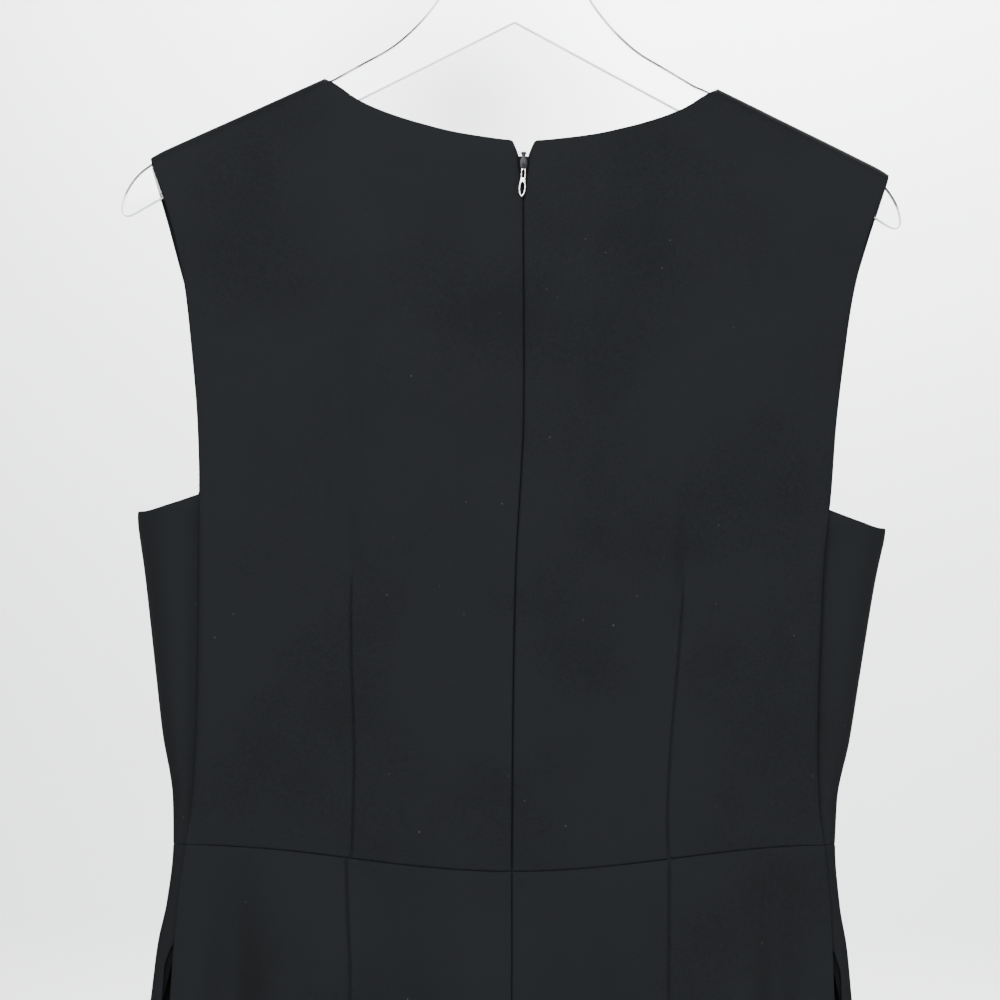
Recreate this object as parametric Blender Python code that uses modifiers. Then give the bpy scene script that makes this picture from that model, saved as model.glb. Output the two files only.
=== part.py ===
"""Sleeveless jumpsuit hanging by its shoulders on a clear plate hanger.

Sizes are in millimetres here and are made metres by MM when a point is placed. The origin is the inside
of the hook's crown, where a rail carries it. +Z is up, -Y is the garment's back, +X the wearer's right.
Heights on the garment are drops below the neck points, where the shoulder seams meet the neckline.
"""
import math

import bmesh
import bpy
import numpy as np

MM = 0.001

# ---- cloth -------------------------------------------------------------------------------------
WALL = 1.6                  # thickness of the sewn cloth
SEAM = 0.3                  # space between two pieces at a seam
LAP = 3.0                   # how far a front piece tucks behind the back piece at a side seam
LAP_SPACE = 0.45            # space between the two there

# ---- lengths down the garment, as drops --------------------------------------------------------
NECK_BELOW_HOOK = 150.0     # neck points below the hook's crown
WAIST = 401.8               # waist seam at the sides
WAIST_DIP_BACK = 13.8       # how much lower it runs at the centre back
WAIST_DIP_FRONT = 6.0
WAIST_LEAN = -2.05           # extra drop at the right end of the seam, and as much less at the left
WAIST_FADE = 80.0           # dip and lean are gone this far above and below the seam
SEAT_TOP = 520.0            # the seat seam starts to curve forward
CROTCH = 687.0
HEM = 1372.0
UNDERARM = 220.0            # top of the side seam
ARM_JOIN = 195.0            # front armhole turns from upright to its bottom curve

# ---- shoulders and hanger ----------------------------------------------------------------------
NECK_HALF = 103.6           # neck point from the centre
TIP_HALF = 195.3            # shoulder tip from the centre
TIP_DROP = 43.2
RIDGE = 8.6                 # the cloth rounds over the hanger with this radius
PLATE_THICK = 6.0
PLATE_UNDER_CLOTH = 3.2     # plate's top edge below the cloth's outer face
PLATE_EDGE = 1.1            # rounding of the plate's edges
PLATE_APEX = -31.4          # drop of the lower edge at the middle
PLATE_SLOPE = 0.52          # of the lower edge
PLATE_TOP = -98.0           # drop of the plate's top, which holds the hook
PLATE_LOWER_AT = (0.0, 60.0, 130.0)                 # points of the straight lower edge
PLATE_SHOULDER_AT = (184.0, 165.0, 135.0, 101.0)    # points of the upper edge under the cloth
ROD = 3.0                   # hook wire
ROD_DEPTH = 16.0            # how deep it goes into the plate
HOOK_RADIUS = 20.5          # hook loop, to the wire's middle
HOOK_STRAIGHT = 5.0         # the wire stands straight this far above the plate
HOOK_PULL = 8.0             # and then bends as softly as this
HOOK_JOIN, HOOK_FIRST, HOOK_TIP = -50.0, -38.0, 206.0   # degrees round the loop

# ---- zip ---------------------------------------------------------------------------------------
ZIP_OPEN = 2.4              # half the space between the back edges at the neck
ZIP_CLOSED_BELOW = 62.0
NOTCH_DROP = 38.2
TAPE_HALF = 12.0
TAPE_THICK = 0.9
TAPE_BEHIND = 0.5           # behind the back pieces' inner faces
TAPE_TOP = 39.0
TAPE_BOTTOM = 560.0
SLIDER_DROP = 43.0          # middle of the slider
SLIDER_OUTLINE = ((0.0, -4.9), (1.1, -4.9), (1.5, -3.4), (2.1, -1.6), (2.25, 0.8), (1.8, 2.6), (0.9, 3.5),
                  (0.9, 4.6), (1.4, 5.0), (1.4, 6.2), (0.0, 6.2))   # right half, from its lower end
SLIDER_SPACE = 0.3          # between the slider and the tape
SLIDER_PROUD = 1.0          # its face in front of the cloth
ARCH_ROD = 0.7              # bridge that holds the pull
ARCH_OUT = 2.4              # bridge's middle in front of the slider's face
ARCH_TOP, ARCH_BOTTOM = -0.4, -4.4
ARCH_CORNER, ARCH_ROOT = 0.7, 0.7     # bend of the bridge, and how deep its ends go into the slider
PULL_THICK = 0.8
PULL_OUT = 1.0              # pull's middle in front of the slider's face
PULL_BAR = 1.0              # bar of the pull that lies under the bridge
PULL_LEAN = math.radians(3.5)
# Right halves of the pull's outline, slot and ring, from their lower ends and from the bar's middle.
PULL_OUTLINE = ((0.0, -14.6), (0.55, -14.2), (1.15, -13.2), (1.6, -11.8), (1.8, -9.9), (1.65, -7.8),
                (1.35, -6.0), (1.2, -4.7), (1.2, -0.1), (1.1, 0.35), (0.7, 0.5), (0.0, 0.5))
PULL_SLOT = ((0.0, -4.4), (0.5, -4.3), (0.72, -3.9), (0.72, -0.5), (0.0, -0.5))
PULL_RING = ((0.0, -13.7), (0.55, -12.9), (1.0, -11.5), (1.15, -10.0), (1.05, -8.4), (0.65, -7.1),
             (0.0, -6.5))

# ---- pocket slits in the side seams ------------------------------------------------------------
SLIT_TOP = 444.0
SLIT_BOTTOM = 604.0
SLIT_OPEN = 7.3             # front edge stands this far out from under the back edge
BAG_WALL = 0.8
BAG_SPACE = 0.45
BAG_EASE = 1.9              # a bag hangs this much freer once it is round the side's outermost edge

# ---- how the form is rounded -------------------------------------------------------------------
BACK_FLAT, SEAT_FLAT = 6.0, 3.0     # power of the back's curve above the waist and over the seat
FLAT_FADE = 180.0
FOLDS_CLEAR, FOLDS_FADE = 12.0, 30.0    # the bodice's folds end above the waist seam, over this height
FRONT_ROUND = 3.0                   # power of the front's curve
TURN_SHARE, TURN_TO = 0.25, 0.8     # share of the front that turns in from its edge, and where that ends
LEG_ROUND = 2.4                     # power of a leg's ring
SEAT_SOFT = 4                       # how quickly the round at the seat seam fades outwards
LEG_CLEAR, LEG_CLEAR_DROP, LEG_APART = 1.2, 60.0, 5.0   # space between the legs, and at the hem
WAIST_WIDE = 170.0                  # half the waist seam, for its dip
SLIT_ENDS = 40.0                    # length over which the slit opens and closes
ZIP_OPEN_FADE = 20.0
FINE = 0.01                         # smaller than any size here

LEFT, RIGHT = -1, 1


def table(names, *rows):
    """A short table's columns by name; the first column is what the others are read against."""
    return {name: np.array(column, float) for name, column in zip(names.split(), zip(*rows))}


# Half-widths and depths of the hanging garment. side: outermost edge; seam: side seam, which is the
# back piece's edge; back, front: the two faces at the middle; seam_y and side_y: depths at those edges.
TRUNK = table(
    "drop  side   seam   back   seam_y side_y front",
    (0,    206.0, 203.0, -8.6,  -8.5,  8.5,   8.7),
    (60,   206.0, 201.0, -9.7,  -9.2,  9.0,   11.0),
    (120,  205.0, 185.0, -11.2, -9.6,  9.8,   17.5),
    (170,  203.5, 172.0, -12.4, -9.6,  11.5,  24.0),
    (220,  201.0, 166.2, -13.0, -10.0, 14.0,  29.0),
    (231,  199.4, 165.8, -13.1, -10.0, 14.0,  29.5),
    (261,  194.0, 164.8, -13.2, -10.0, 13.0,  29.5),
    (291,  189.6, 164.3, -13.2, -10.0, 11.0,  27.0),
    (315,  186.3, 164.0, -12.8, -9.6,  9.0,   23.5),
    (345,  182.0, 164.2, -12.0, -9.0,  6.0,   18.0),
    (379,  175.6, 165.6, -10.5, -7.6,  2.5,   11.8),
    (402,  174.9, 168.6, -9.8,  -6.8,  1.0,   9.8),
    (433,  177.8, 172.2, -10.8, -7.0,  1.0,   11.0),
    (455,  182.0, 173.8, -12.2, -7.2,  1.2,   13.2),
    (485,  185.4, 175.4, -15.0, -7.8,  1.5,   17.0),
    (540,  192.5, 180.0, -21.5, -9.0,  1.5,   24.5),
    (600,  199.5, 186.5, -28.0, -10.0, 1.5,   31.0),
    (687,  206.5, 195.5, -34.0, -11.0, 1.0,   38.0),
    (850,  212.5, 204.0, -35.0, -10.5, 0.5,   38.0),
    (1100, 219.0, 212.5, -29.0, -8.5,  0.0,   31.0),
    (1372, 225.0, 220.0, -21.0, -6.5,  0.0,   22.0),
)

# Outer lines of the neck and armholes.
NECK_BACK = table(
    "half  drop",
    (0.0,   30.6),
    (7.2,   30.3),
    (16.7,  29.3),
    (36.3,  26.6),
    (54.3,  22.6),
    (73.9,  16.6),
    (86.7,  11.0),
    (97.5,  3.6),
    (103.6, 0.0),
)
NECK_FRONT = table(
    "half  drop",
    (0.0,   92.0),
    (22.0,  90.0),
    (45.0,  82.5),
    (66.0,  68.0),
    (83.0,  47.0),
    (95.0,  25.0),
    (103.0, RIDGE),
)
ARM_BACK = table(
    "drop  half",
    (43.2,  195.3),
    (48.0,  193.9),
    (61.5,  188.9),
    (78.7,  183.2),
    (98.0,  178.5),
    (114.5, 175.4),
    (140.2, 172.2),
    (181.0, 168.2),
    (220.0, 166.2),
)
ARM_FRONT = table(
    "drop  half",
    (43.2,  195.3),
    (48.0,  194.6),
    (61.5,  190.2),
    (78.7,  184.6),
    (98.0,  179.0),
    (114.5, 174.6),
    (140.2, 168.6),
    (170.0, 163.6),
    (195.0, 161.5),
)
# Bottom curve of the front armhole, against the way round from the seam (0) to its upright part (1).
ARM_CURVE = table(
    "way   drop",
    (0.00, UNDERARM),
    (0.20, 226.2),
    (0.40, 230.6),
    (0.55, 231.0),
    (0.75, 230.0),
    (0.90, 224.0),
    (1.00, ARM_JOIN),
)
# Upper edge of the hanger plate inside the neck.
PLATE_UPPER = table(
    "half   drop",
    (0.0,   PLATE_TOP),
    (9.0,   -97.2),
    (16.0,  -93.0),
    (20.5,  -85.0),
    (26.0,  -71.0),
    (33.0,  -56.5),
    (40.4,  -43.8),
    (47.5,  -34.4),
    (56.2,  -25.2),
    (65.6,  -17.4),
    (80.6,  -8.7),
    (96.0,  0.2),
)
# The plate's rounded end outside the armhole, from its lower edge to its upper edge.
PLATE_END = table(
    "half   drop",
    (188.0, 66.4),
    (194.0, 70.0),
    (199.5, 73.4),
    (203.2, 74.4),
    (205.7, 72.4),
    (206.0, 68.2),
    (204.4, 62.4),
    (201.0, 56.0),
    (196.4, 50.4),
    (191.0, 46.4),
)

# How the garment hangs: how far it lies aside of the hook, and how far its sides lean up and down.
HANG = table(
    "drop  aside lean",
    (0,    4.0,  1.0),
    (200,  4.0,  1.7),
    (255,  2.3,  1.6),
    (402,  1.2,  0.0),
    (1372, 1.2,  0.0),
)
# The back hangs a little to one side: how far its middle lies from the garment's.
SWAY = table(
    "drop  aside",
    (0,    1.1),
    (60,   1.6),
    (178,  3.4),
    (215,  2.4),
    (275,  2.2),
    (415,  3.8),
    (485,  4.4),
    (720,  0.0),
)
SWAY_ALL, SWAY_FADE = 40.0, 80.0    # above the first drop it ends at the neck, below both at the side seams
SWAY_NECK, SWAY_SEAM, SWAY_ENDS = 95.0, 163.0, 60.0

# How far a pocket reaches round from its slit, at rows of the front leg.
BAG = table(
    "drop  reach",
    (452,  92.0),
    (485,  120.0),
    (530,  140.0),
    (575,  146.0),
    (612,  138.0),
    (645,  104.0),
)

# Soft folds of the back bodice: both ends, half-width, and height out of the cloth (minus is a trough).
FOLD_NAMES = "x0 drop0 x1 drop1 wide high"
BACK_FOLDS = table(
    FOLD_NAMES,
    (-85.0, 80.0,  -62.5, 190.0, 15.0, 1.8),
    (-99.0, 140.0, -87.0, 262.0, 11.0, -2.6),
    (-37.0, 118.0, -16.0, 200.0, 11.0, -1.6),
    (67.0,  145.0, 33.0,  236.0, 12.0, -2.0),
    (84.0,  180.0, 77.0,  270.0, 10.0, 2.0),
    (96.0,  236.0, 88.0,  292.0, 10.0, -2.6),
    (128.0, 262.0, 114.0, 335.0, 14.0, 1.6),
)
# Upright folds of the legs. way runs from the side seam (0) to the centre or inseam (1), wide is the
# half-width in the same measure, and h0 to h4 are the fold's heights at LEG_DROPS.
LEG_DROPS = (WAIST + 8, 485.0, 640.0, 1000.0, HEM)
LEG_NAMES = "side way wide h0 h1 h2 h3 h4"
LEG_FOLDS_BACK = table(
    LEG_NAMES,
    (LEFT,  0.17, 0.085, 0, -3.4, -7.0, -6.0, -4.0),
    (LEFT,  0.33, 0.080, 0, 1.2,  3.5,  4.0,  3.0),
    (LEFT,  0.47, 0.070, 0, 1.0,  4.0,  5.0,  4.0),
    (LEFT,  0.63, 0.100, 0, -3.8, -8.0, -7.0, -4.5),
    (RIGHT, 0.16, 0.080, 0, -2.8, -6.5, -6.5, -4.0),
    (RIGHT, 0.30, 0.080, 0, 0.8,  3.0,  4.0,  2.5),
    (RIGHT, 0.52, 0.110, 0, 1.2,  4.5,  5.0,  4.0),
    (RIGHT, 0.76, 0.090, 0, -3.8, -7.0, -6.0, -4.0),
)
LEG_FOLDS_FRONT = table(
    LEG_NAMES,
    (LEFT,  0.30, 0.080, 0, -2.6, -6.0, -6.0, -4.0),
    (LEFT,  0.52, 0.080, 0, 1.4,  5.0,  6.0,  5.0),
    (LEFT,  0.70, 0.090, 0, -2.6, -7.0, -6.5, -4.0),
    (RIGHT, 0.27, 0.085, 0, -2.8, -6.5, -5.5, -4.0),
    (RIGHT, 0.52, 0.080, 0, 1.4,  5.0,  6.0,  5.0),
    (RIGHT, 0.73, 0.080, 0, -2.4, -6.5, -7.0, -4.0),
)

BUST_X, BUST_DROP = 88.0, 262.0     # fullest point of the front, over each waist dart
BUST_WIDE, BUST_HIGH, BUST_OUT = 50.0, 62.0, 9.0

# ---- grids: how finely each piece is divided ---------------------------------------------------
DENSE = 240                         # points along a section before it is divided
NECK_COLUMNS_BACK = (0, 7.4, 24, 42, 59, 75, 87, 95, 99.3, 102.2, NECK_HALF)
SHOULDER_COLUMNS = 6
RETURN_COLUMNS = 4                  # front piece, from the side seam to its outermost edge
SIDE_COLUMNS = 4                    # from there to below the armhole's upright edge
NECK_COLUMNS_FRONT = 8
BODICE_ROWS = (402, 385, 362, 335, 305, 275, 245, 220)
UPPER_ROWS = 5                      # from the underarm to where the cloth rounds over the hanger
RIDGE_TURNS = (60, 30, 0)           # degrees round the hanger, ending at the shoulder seam
LEG_ROWS = (402, 416, 432, 452, 485, 530, 575, 612, 645, 668, 681, 687,
            725, 790, 880, 990, 1110, 1240, 1372)
LEG_COLUMNS = 18
BAG_COLUMNS = 6                     # of a pocket, beyond the side's outermost edge
BAG_INSET = 1.0                     # of a pocket's back layer from the seam
TAPE_ROWS = (55, 80, 120, 170, 220, 262, 305, 350, WAIST, 450, 500, 530)
TAPE_COLUMNS = 4
HOOK_BEND_STEPS, HOOK_LOOP_STEPS = 6, 21


# ---- curves ------------------------------------------------------------------------------------

def smooth(value):
    """0 below 0, 1 above 1 and an even S between."""
    t = np.clip(value, 0.0, 1.0)
    return t * t * (3.0 - 2.0 * t)


def read(rows, name, at):
    """One column's value at a place along the first: a cubic through the rows that never overshoots."""
    xs, ys = rows[next(iter(rows))], rows[name]
    step = np.diff(xs)
    rise = np.diff(ys) / step
    ahead, behind = 2 * step[1:] + step[:-1], step[1:] + 2 * step[:-1]
    turning = rise[:-1] * rise[1:] <= 0
    before, after = np.where(turning, 1.0, rise[:-1]), np.where(turning, 1.0, rise[1:])
    slope = np.concatenate([rise[:1], (ahead + behind) / (ahead / before + behind / after), rise[-1:]])
    slope[1:-1][turning] = 0.0
    at = np.clip(np.asarray(at, float), xs[0], xs[-1])
    i = np.clip(np.searchsorted(xs, at, side="right") - 1, 0, len(step) - 1)
    t, h = (at - xs[i]) / step[i], step[i]
    return ((1 + 2 * t) * (1 - t) ** 2 * ys[i] + t * (1 - t) ** 2 * h * slope[i]
            + t * t * (3 - 2 * t) * ys[i + 1] + t * t * (t - 1) * h * slope[i + 1])


def bump(distance):
    """A soft hill, 1 at no distance and nearly gone at 2."""
    return np.exp(-1.4 * distance ** 2)


def shares_of(points):
    """Share of a polyline's length at each of its points."""
    steps = np.linalg.norm(np.diff(points, axis=0), axis=1)
    length = np.concatenate([[0.0], np.cumsum(steps)])
    return length / length[-1]


def divide(points, shares):
    """Points at the given shares of a polyline's length."""
    along = shares_of(points)
    return np.stack([np.interp(shares, along, points[:, axis]) for axis in (0, 1)], axis=1)


def move_out(points, amount, turn):
    """Points moved out of the garment along a section's normals; turn is 1 on a front, -1 on a back."""
    steps = np.diff(points, axis=0)
    steps /= np.maximum(np.linalg.norm(steps, axis=1, keepdims=True), 1e-9)
    run = np.concatenate([steps[:1], steps[1:] + steps[:-1], steps[-1:]])
    normal = turn * np.stack([run[:, 1], -run[:, 0]], axis=1)
    normal /= np.maximum(np.linalg.norm(normal, axis=1, keepdims=True), 1e-9)
    return points + normal * np.reshape(amount, (-1, 1))


# ---- the garment's form ------------------------------------------------------------------------

def ridge_drop(x):
    """Drop of the shoulder line, carried on straight towards the centre."""
    return (np.abs(x) - NECK_HALF) * TIP_DROP / (TIP_HALF - NECK_HALF)


def over_hanger(x, drop):
    """Share of the full depth: the cloth rounds in to the shoulder seam over the hanger."""
    t = np.clip((drop - ridge_drop(x)) / RIDGE, 0.0, 1.0)
    return np.sqrt(1.0 - (1.0 - t) ** 2)


def back_fold(x, drop):
    """Height of the back bodice's soft folds at a signed x."""
    total = 0.0
    for x0, drop0, x1, drop1, wide, high in zip(*(BACK_FOLDS[name] for name in FOLD_NAMES.split())):
        run_x, run_drop = x1 - x0, drop1 - drop0
        length = math.hypot(run_x, run_drop)
        along = ((x - x0) * run_x + (drop - drop0) * run_drop) / length ** 2
        across = ((x - x0) * run_drop - (drop - drop0) * run_x) / length
        ends = smooth((along + 0.25) / 0.5) * smooth((1.25 - along) / 0.5)
        total = total + high * bump(across / wide) * ends
    return total


def leg_fold(folds, side, way, drop):
    """Height of a leg's upright folds."""
    total = 0.0
    for row in np.flatnonzero(folds["side"] == side):
        heights = table("drop high", *zip(LEG_DROPS, (folds[f"h{i}"][row] for i in range(5))))
        across = (way - folds["way"][row]) / folds["wide"][row]
        total = total + read(heights, "high", drop) * bump(across)
    return total


def cup(x, drop):
    """Fullness that the waist darts give the front bodice."""
    across, along = (np.abs(x) - BUST_X) / BUST_WIDE, (drop - BUST_DROP) / BUST_HIGH
    return BUST_OUT * np.exp(-across ** 2 - along ** 2)


def legs_share(drop, t):
    """0 where one ring goes round both sides, 1 below the crotch: quick at the seat seam, soft outwards."""
    q = np.clip((drop - SEAT_TOP) / (CROTCH - SEAT_TOP), 0.0, 1.0)
    return (smooth(q) + (1.0 - math.sqrt(1.0 - q * q) - smooth(q)) * t ** SEAT_SOFT)[:, None]


def inner_x(drop):
    """Inner edge of a leg from the middle plane."""
    below = LEG_CLEAR * smooth((drop - CROTCH) / LEG_CLEAR_DROP)
    return SEAM / 2 + below + LEG_APART * smooth((drop - CROTCH) / (HEM - CROTCH))


def leg_arc(x_out, y_out, y_mid, x_in, t):
    """Half a leg's ring, from its outer edge over the back or front to the inseam."""
    cosine, sine = np.cos(np.pi * t), np.sin(np.pi * t)
    power = 2.0 / LEG_ROUND
    x = (x_out + x_in) / 2 + (x_out - x_in) / 2 * np.sign(cosine) * np.abs(cosine) ** power
    y_end = np.where(t < 0.5, y_out, math.copysign(SEAM / 2, y_mid))
    return np.stack([x, y_end + (y_mid - y_end) * np.abs(sine) ** power], axis=1)


def back_y(x, drop):
    """Depth of the back's outer face at a signed x, where one ring goes round."""
    middle, edge = read(TRUNK, "back", drop), read(TRUNK, "seam_y", drop)
    across = np.clip(np.abs(x) / read(TRUNK, "seam", drop), 0.0, 1.0)
    power = BACK_FLAT + (SEAT_FLAT - BACK_FLAT) * smooth((drop - WAIST) / FLAT_FADE)
    above_waist = smooth((WAIST - FOLDS_CLEAR - drop) / FOLDS_FADE)
    flat = middle + (edge - middle) * across ** power
    return (flat - back_fold(x, drop) * above_waist) * over_hanger(x, drop)


def front_y(x, drop):
    """Depth of the front's outer face at a signed x, where one ring goes round."""
    middle, edge = read(TRUNK, "front", drop), read(TRUNK, "side_y", drop)
    across = np.clip(np.abs(x) / read(TRUNK, "side", drop), 0.0, 1.0)
    flat = edge + (middle - edge) * (1.0 - across ** FRONT_ROUND) ** (1.0 / FRONT_ROUND)
    return (flat + cup(x, drop)) * over_hanger(x, drop)


def back_section(side, drop):
    """Outer face of the back at one height, from the side seam to the centre or inseam."""
    t = np.linspace(0.0, 1.0, DENSE)
    seam = read(TRUNK, "seam", drop)
    x = seam * (1.0 - t) + SEAM / 2 * t
    whole = np.stack([x, back_y(side * x, drop)], axis=1)
    share = legs_share(drop, t)
    ring = leg_arc(seam, read(TRUNK, "seam_y", drop), read(TRUNK, "back", drop), inner_x(drop), t)
    whole = whole * (1.0 - share) + ring * share
    if drop > WAIST:
        whole = move_out(whole, leg_fold(LEG_FOLDS_BACK, side, shares_of(whole), drop), -1)
    return whole


def front_return(drop):
    """Front piece where it comes round to the back: from behind the side seam to the outermost edge."""
    inner, outer = read(TRUNK, "seam", drop) - LAP, read(TRUNK, "side", drop)
    back, front = read(TRUNK, "seam_y", drop) + WALL + LAP_SPACE, read(TRUNK, "side_y", drop)
    angle = np.linspace(0.0, math.pi / 2, DENSE // 4)
    x = inner + (outer - inner) * np.sin(angle)
    return np.stack([x, front - (front - back) * np.cos(angle)], axis=1)


def front_main(side, drop):
    """Rest of the front piece, from the outermost edge to the centre or inseam."""
    t = np.linspace(0.0, 1.0, DENSE)
    edge, edge_y = read(TRUNK, "side", drop), read(TRUNK, "side_y", drop)
    last = math.acos(TURN_TO ** (FRONT_ROUND / 2))
    turned = np.cos(np.clip(t / TURN_SHARE, 0.0, 1.0) * last) ** (2.0 / FRONT_ROUND)
    x = edge * np.where(t < TURN_SHARE, turned, TURN_TO * (1.0 - t) / (1.0 - TURN_SHARE))
    x = np.maximum(x, SEAM / 2)
    whole = np.stack([x, front_y(side * x, drop)], axis=1)
    share = legs_share(drop, t)
    ring = leg_arc(edge, edge_y, read(TRUNK, "front", drop), inner_x(drop), t)
    whole = whole * (1.0 - share) + ring * share
    if drop > WAIST:
        whole = move_out(whole, leg_fold(LEG_FOLDS_FRONT, side, shares_of(whole), drop), 1)
    return whole


def slit(drop):
    """How far the pocket slit is open, 0 to 1."""
    return smooth((drop - SLIT_TOP) / SLIT_ENDS) * smooth((SLIT_BOTTOM - drop) / SLIT_ENDS)


def cut_at_slit(points, drop):
    """The return, less what the pocket slit takes from its seam edge."""
    start = points[0, 0] + slit(drop) * SLIT_OPEN
    kept = points[points[:, 0] > start]
    first = np.array([[start, np.interp(start, points[:, 0], points[:, 1])]])
    return np.concatenate([first, kept])


def waist_dip(x, drop, dip):
    """Extra drop at a signed x near the waist seam, which leans and curves down to the centre."""
    across = np.clip(x / WAIST_WIDE, -1.0, 1.0)
    curve = dip * (0.5 + 0.5 * np.cos(np.pi * across)) + WAIST_LEAN * across
    return curve * (1.0 - smooth(np.abs(drop - WAIST) / WAIST_FADE))


def zip_gap(drop):
    """Half the space between the two back edges: open at the neck, closed below the pull."""
    return SEAM + ZIP_OPEN * smooth((ZIP_CLOSED_BELOW - drop) / ZIP_OPEN_FADE)


def sway(x, drop):
    """How far a back piece's point lies aside at a signed x."""
    reach = SWAY_NECK + (SWAY_SEAM - SWAY_NECK) * smooth((drop - SWAY_ALL) / SWAY_FADE)
    return read(SWAY, "aside", drop) * smooth((reach - np.abs(x)) / SWAY_ENDS)


def place_back(side, x, y, drop):
    """A point of a back piece in metres."""
    return place(side, x + side * sway(side * x, drop), y, drop)


def place(side, x, y, drop):
    """A garment point in metres. Its sides lean a little, because both shoulders rest on the plate."""
    lean = read(HANG, "lean", drop) * np.clip(side * x / NECK_HALF, -1.0, 1.0) ** 3
    return ((side * x + read(HANG, "aside", drop)) * MM, y * MM, (-NECK_BELOW_HOOK - drop - lean) * MM)


# ---- making solids -----------------------------------------------------------------------------

def material(name, colour, roughness, metallic=0.0, transmission=0.0):
    """A plain surface finish."""
    made = bpy.data.materials.new(name)
    made.use_nodes = True
    shader = made.node_tree.nodes["Principled BSDF"]
    shader.inputs["Base Color"].default_value = (*colour, 1.0)
    shader.inputs["Roughness"].default_value = roughness
    shader.inputs["Metallic"].default_value = metallic
    shader.inputs["Transmission Weight"].default_value = transmission
    made.diffuse_color = (*colour, 1.0)
    return made


def add_object(name, mesh, finish, collection):
    """An object in a collection, shaded smooth up to an angle."""
    made = bpy.data.objects.new(name, mesh)
    mesh.materials.append(finish)
    mesh.shade_smooth()
    mesh.set_sharp_from_angle(angle=math.radians(40.0))
    collection.objects.link(made)
    return made


def wall(name, rows, thickness, outward, seam_axes, finish, collection):
    """A closed wall of cloth under a grid of outer points.

    rows holds lists of points in metres, with None where a corner of the grid is cut out. outward is a
    rough direction out of the cloth. seam_axes says, for a row and column, along which axes the inner
    point stays level with the outer one, because the seam's other piece lies that way.
    """
    body = bmesh.new()
    grid = [[None if point is None else body.verts.new(point) for point in row] for row in rows]
    for row_a, row_b in zip(grid, grid[1:]):
        for corners in zip(row_a, row_a[1:], row_b[1:], row_b):
            if None not in corners:     # triangles, so that both faces of the wall fold along one diagonal
                body.faces.new(corners[:3])
                body.faces.new((corners[0], *corners[2:]))
    body.normal_update()
    if sum(face.normal.dot(outward) for face in body.faces) < 0:
        bmesh.ops.reverse_faces(body, faces=body.faces[:])
        body.normal_update()
    outer_faces = body.faces[:]
    rim = [(loop.vert, loop.link_loop_next.vert) for edge in body.edges if edge.is_boundary
           for loop in edge.link_loops]
    inner = {}
    for r, row in enumerate(grid):
        for c, vertex in enumerate(row):
            if vertex is not None:
                inward = -vertex.normal
                for axis in seam_axes(r, c):
                    inward[axis] = 0.0
                inner[vertex] = body.verts.new(vertex.co + inward.normalized() * thickness * MM)
    for face in outer_faces:
        body.faces.new([inner[vertex] for vertex in reversed(face.verts)])
    for first, second in rim:
        body.faces.new((second, first, inner[first], inner[second]))
    mesh = bpy.data.meshes.new(name)
    body.to_mesh(mesh)
    body.free()
    return add_object(name, mesh, finish, collection)


def mesh_of_curve(name, splines, make, cyclic, **settings):
    """A mesh from polyline splines: a tube, or a filled flat outline with holes."""
    curve = bpy.data.curves.new(name + "_line", "CURVE")
    curve.dimensions = "2D" if cyclic else "3D"
    for points in splines:
        spline = curve.splines.new("POLY")
        spline.points.add(len(points) - 1)
        for target, point in zip(spline.points, points):
            target.co = (*(value * MM for value in point), 1.0)
        spline.use_cyclic_u = cyclic
    for key, value in settings.items():
        setattr(curve, key, value)
    line = bpy.data.objects.new(name + "_line", curve)
    make.objects.link(line)
    bpy.context.view_layer.update()
    evaluated = line.evaluated_get(bpy.context.evaluated_depsgraph_get())
    mesh = bpy.data.meshes.new_from_object(evaluated)
    mesh.name = name
    body = bmesh.new()
    body.from_mesh(mesh)
    bmesh.ops.remove_doubles(body, verts=body.verts[:], dist=1e-6)
    if len(splines) == 1:
        bmesh.ops.dissolve_limit(body, angle_limit=math.radians(0.5), verts=body.verts[:], edges=body.edges[:])
    bmesh.ops.recalc_face_normals(body, faces=body.faces[:])
    body.to_mesh(mesh)
    body.free()
    bpy.data.objects.remove(line)
    return mesh


def flat_plate(name, splines, thickness, make):
    """A plate from outlines in x and height, standing upright across Y."""
    mesh = mesh_of_curve(name, [[(x, z, 0.0) for x, z in points] for points in splines], make, True,
                         fill_mode="BOTH", extrude=thickness / 2 * MM)
    for vertex in mesh.vertices:
        x, z, y = vertex.co
        vertex.co = (x, -y, z)
    return mesh


def tube(name, points, diameter, make, resolution=2):
    """A round wire along a polyline."""
    return mesh_of_curve(name, [points], make, False, bevel_depth=diameter / 2 * MM,
                         bevel_resolution=resolution, use_fill_caps=True)


def add_bevel(made, width, segments):
    """Rounded edges."""
    bevel = made.modifiers.new("rounded edges", "BEVEL")
    bevel.width = width * MM
    bevel.segments = segments
    bevel.limit_method = "ANGLE"
    bevel.angle_limit = math.radians(40.0)
    bevel.use_clamp_overlap = True


def add_boolean(made, other, operation):
    """Cut by another object, or joined with it."""
    boolean = made.modifiers.new(operation.lower(), "BOOLEAN")
    boolean.operation = operation
    boolean.object = other
    other.hide_render = True
    other.display_type = "WIRE"


# ---- the garment's pieces ----------------------------------------------------------------------

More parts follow.
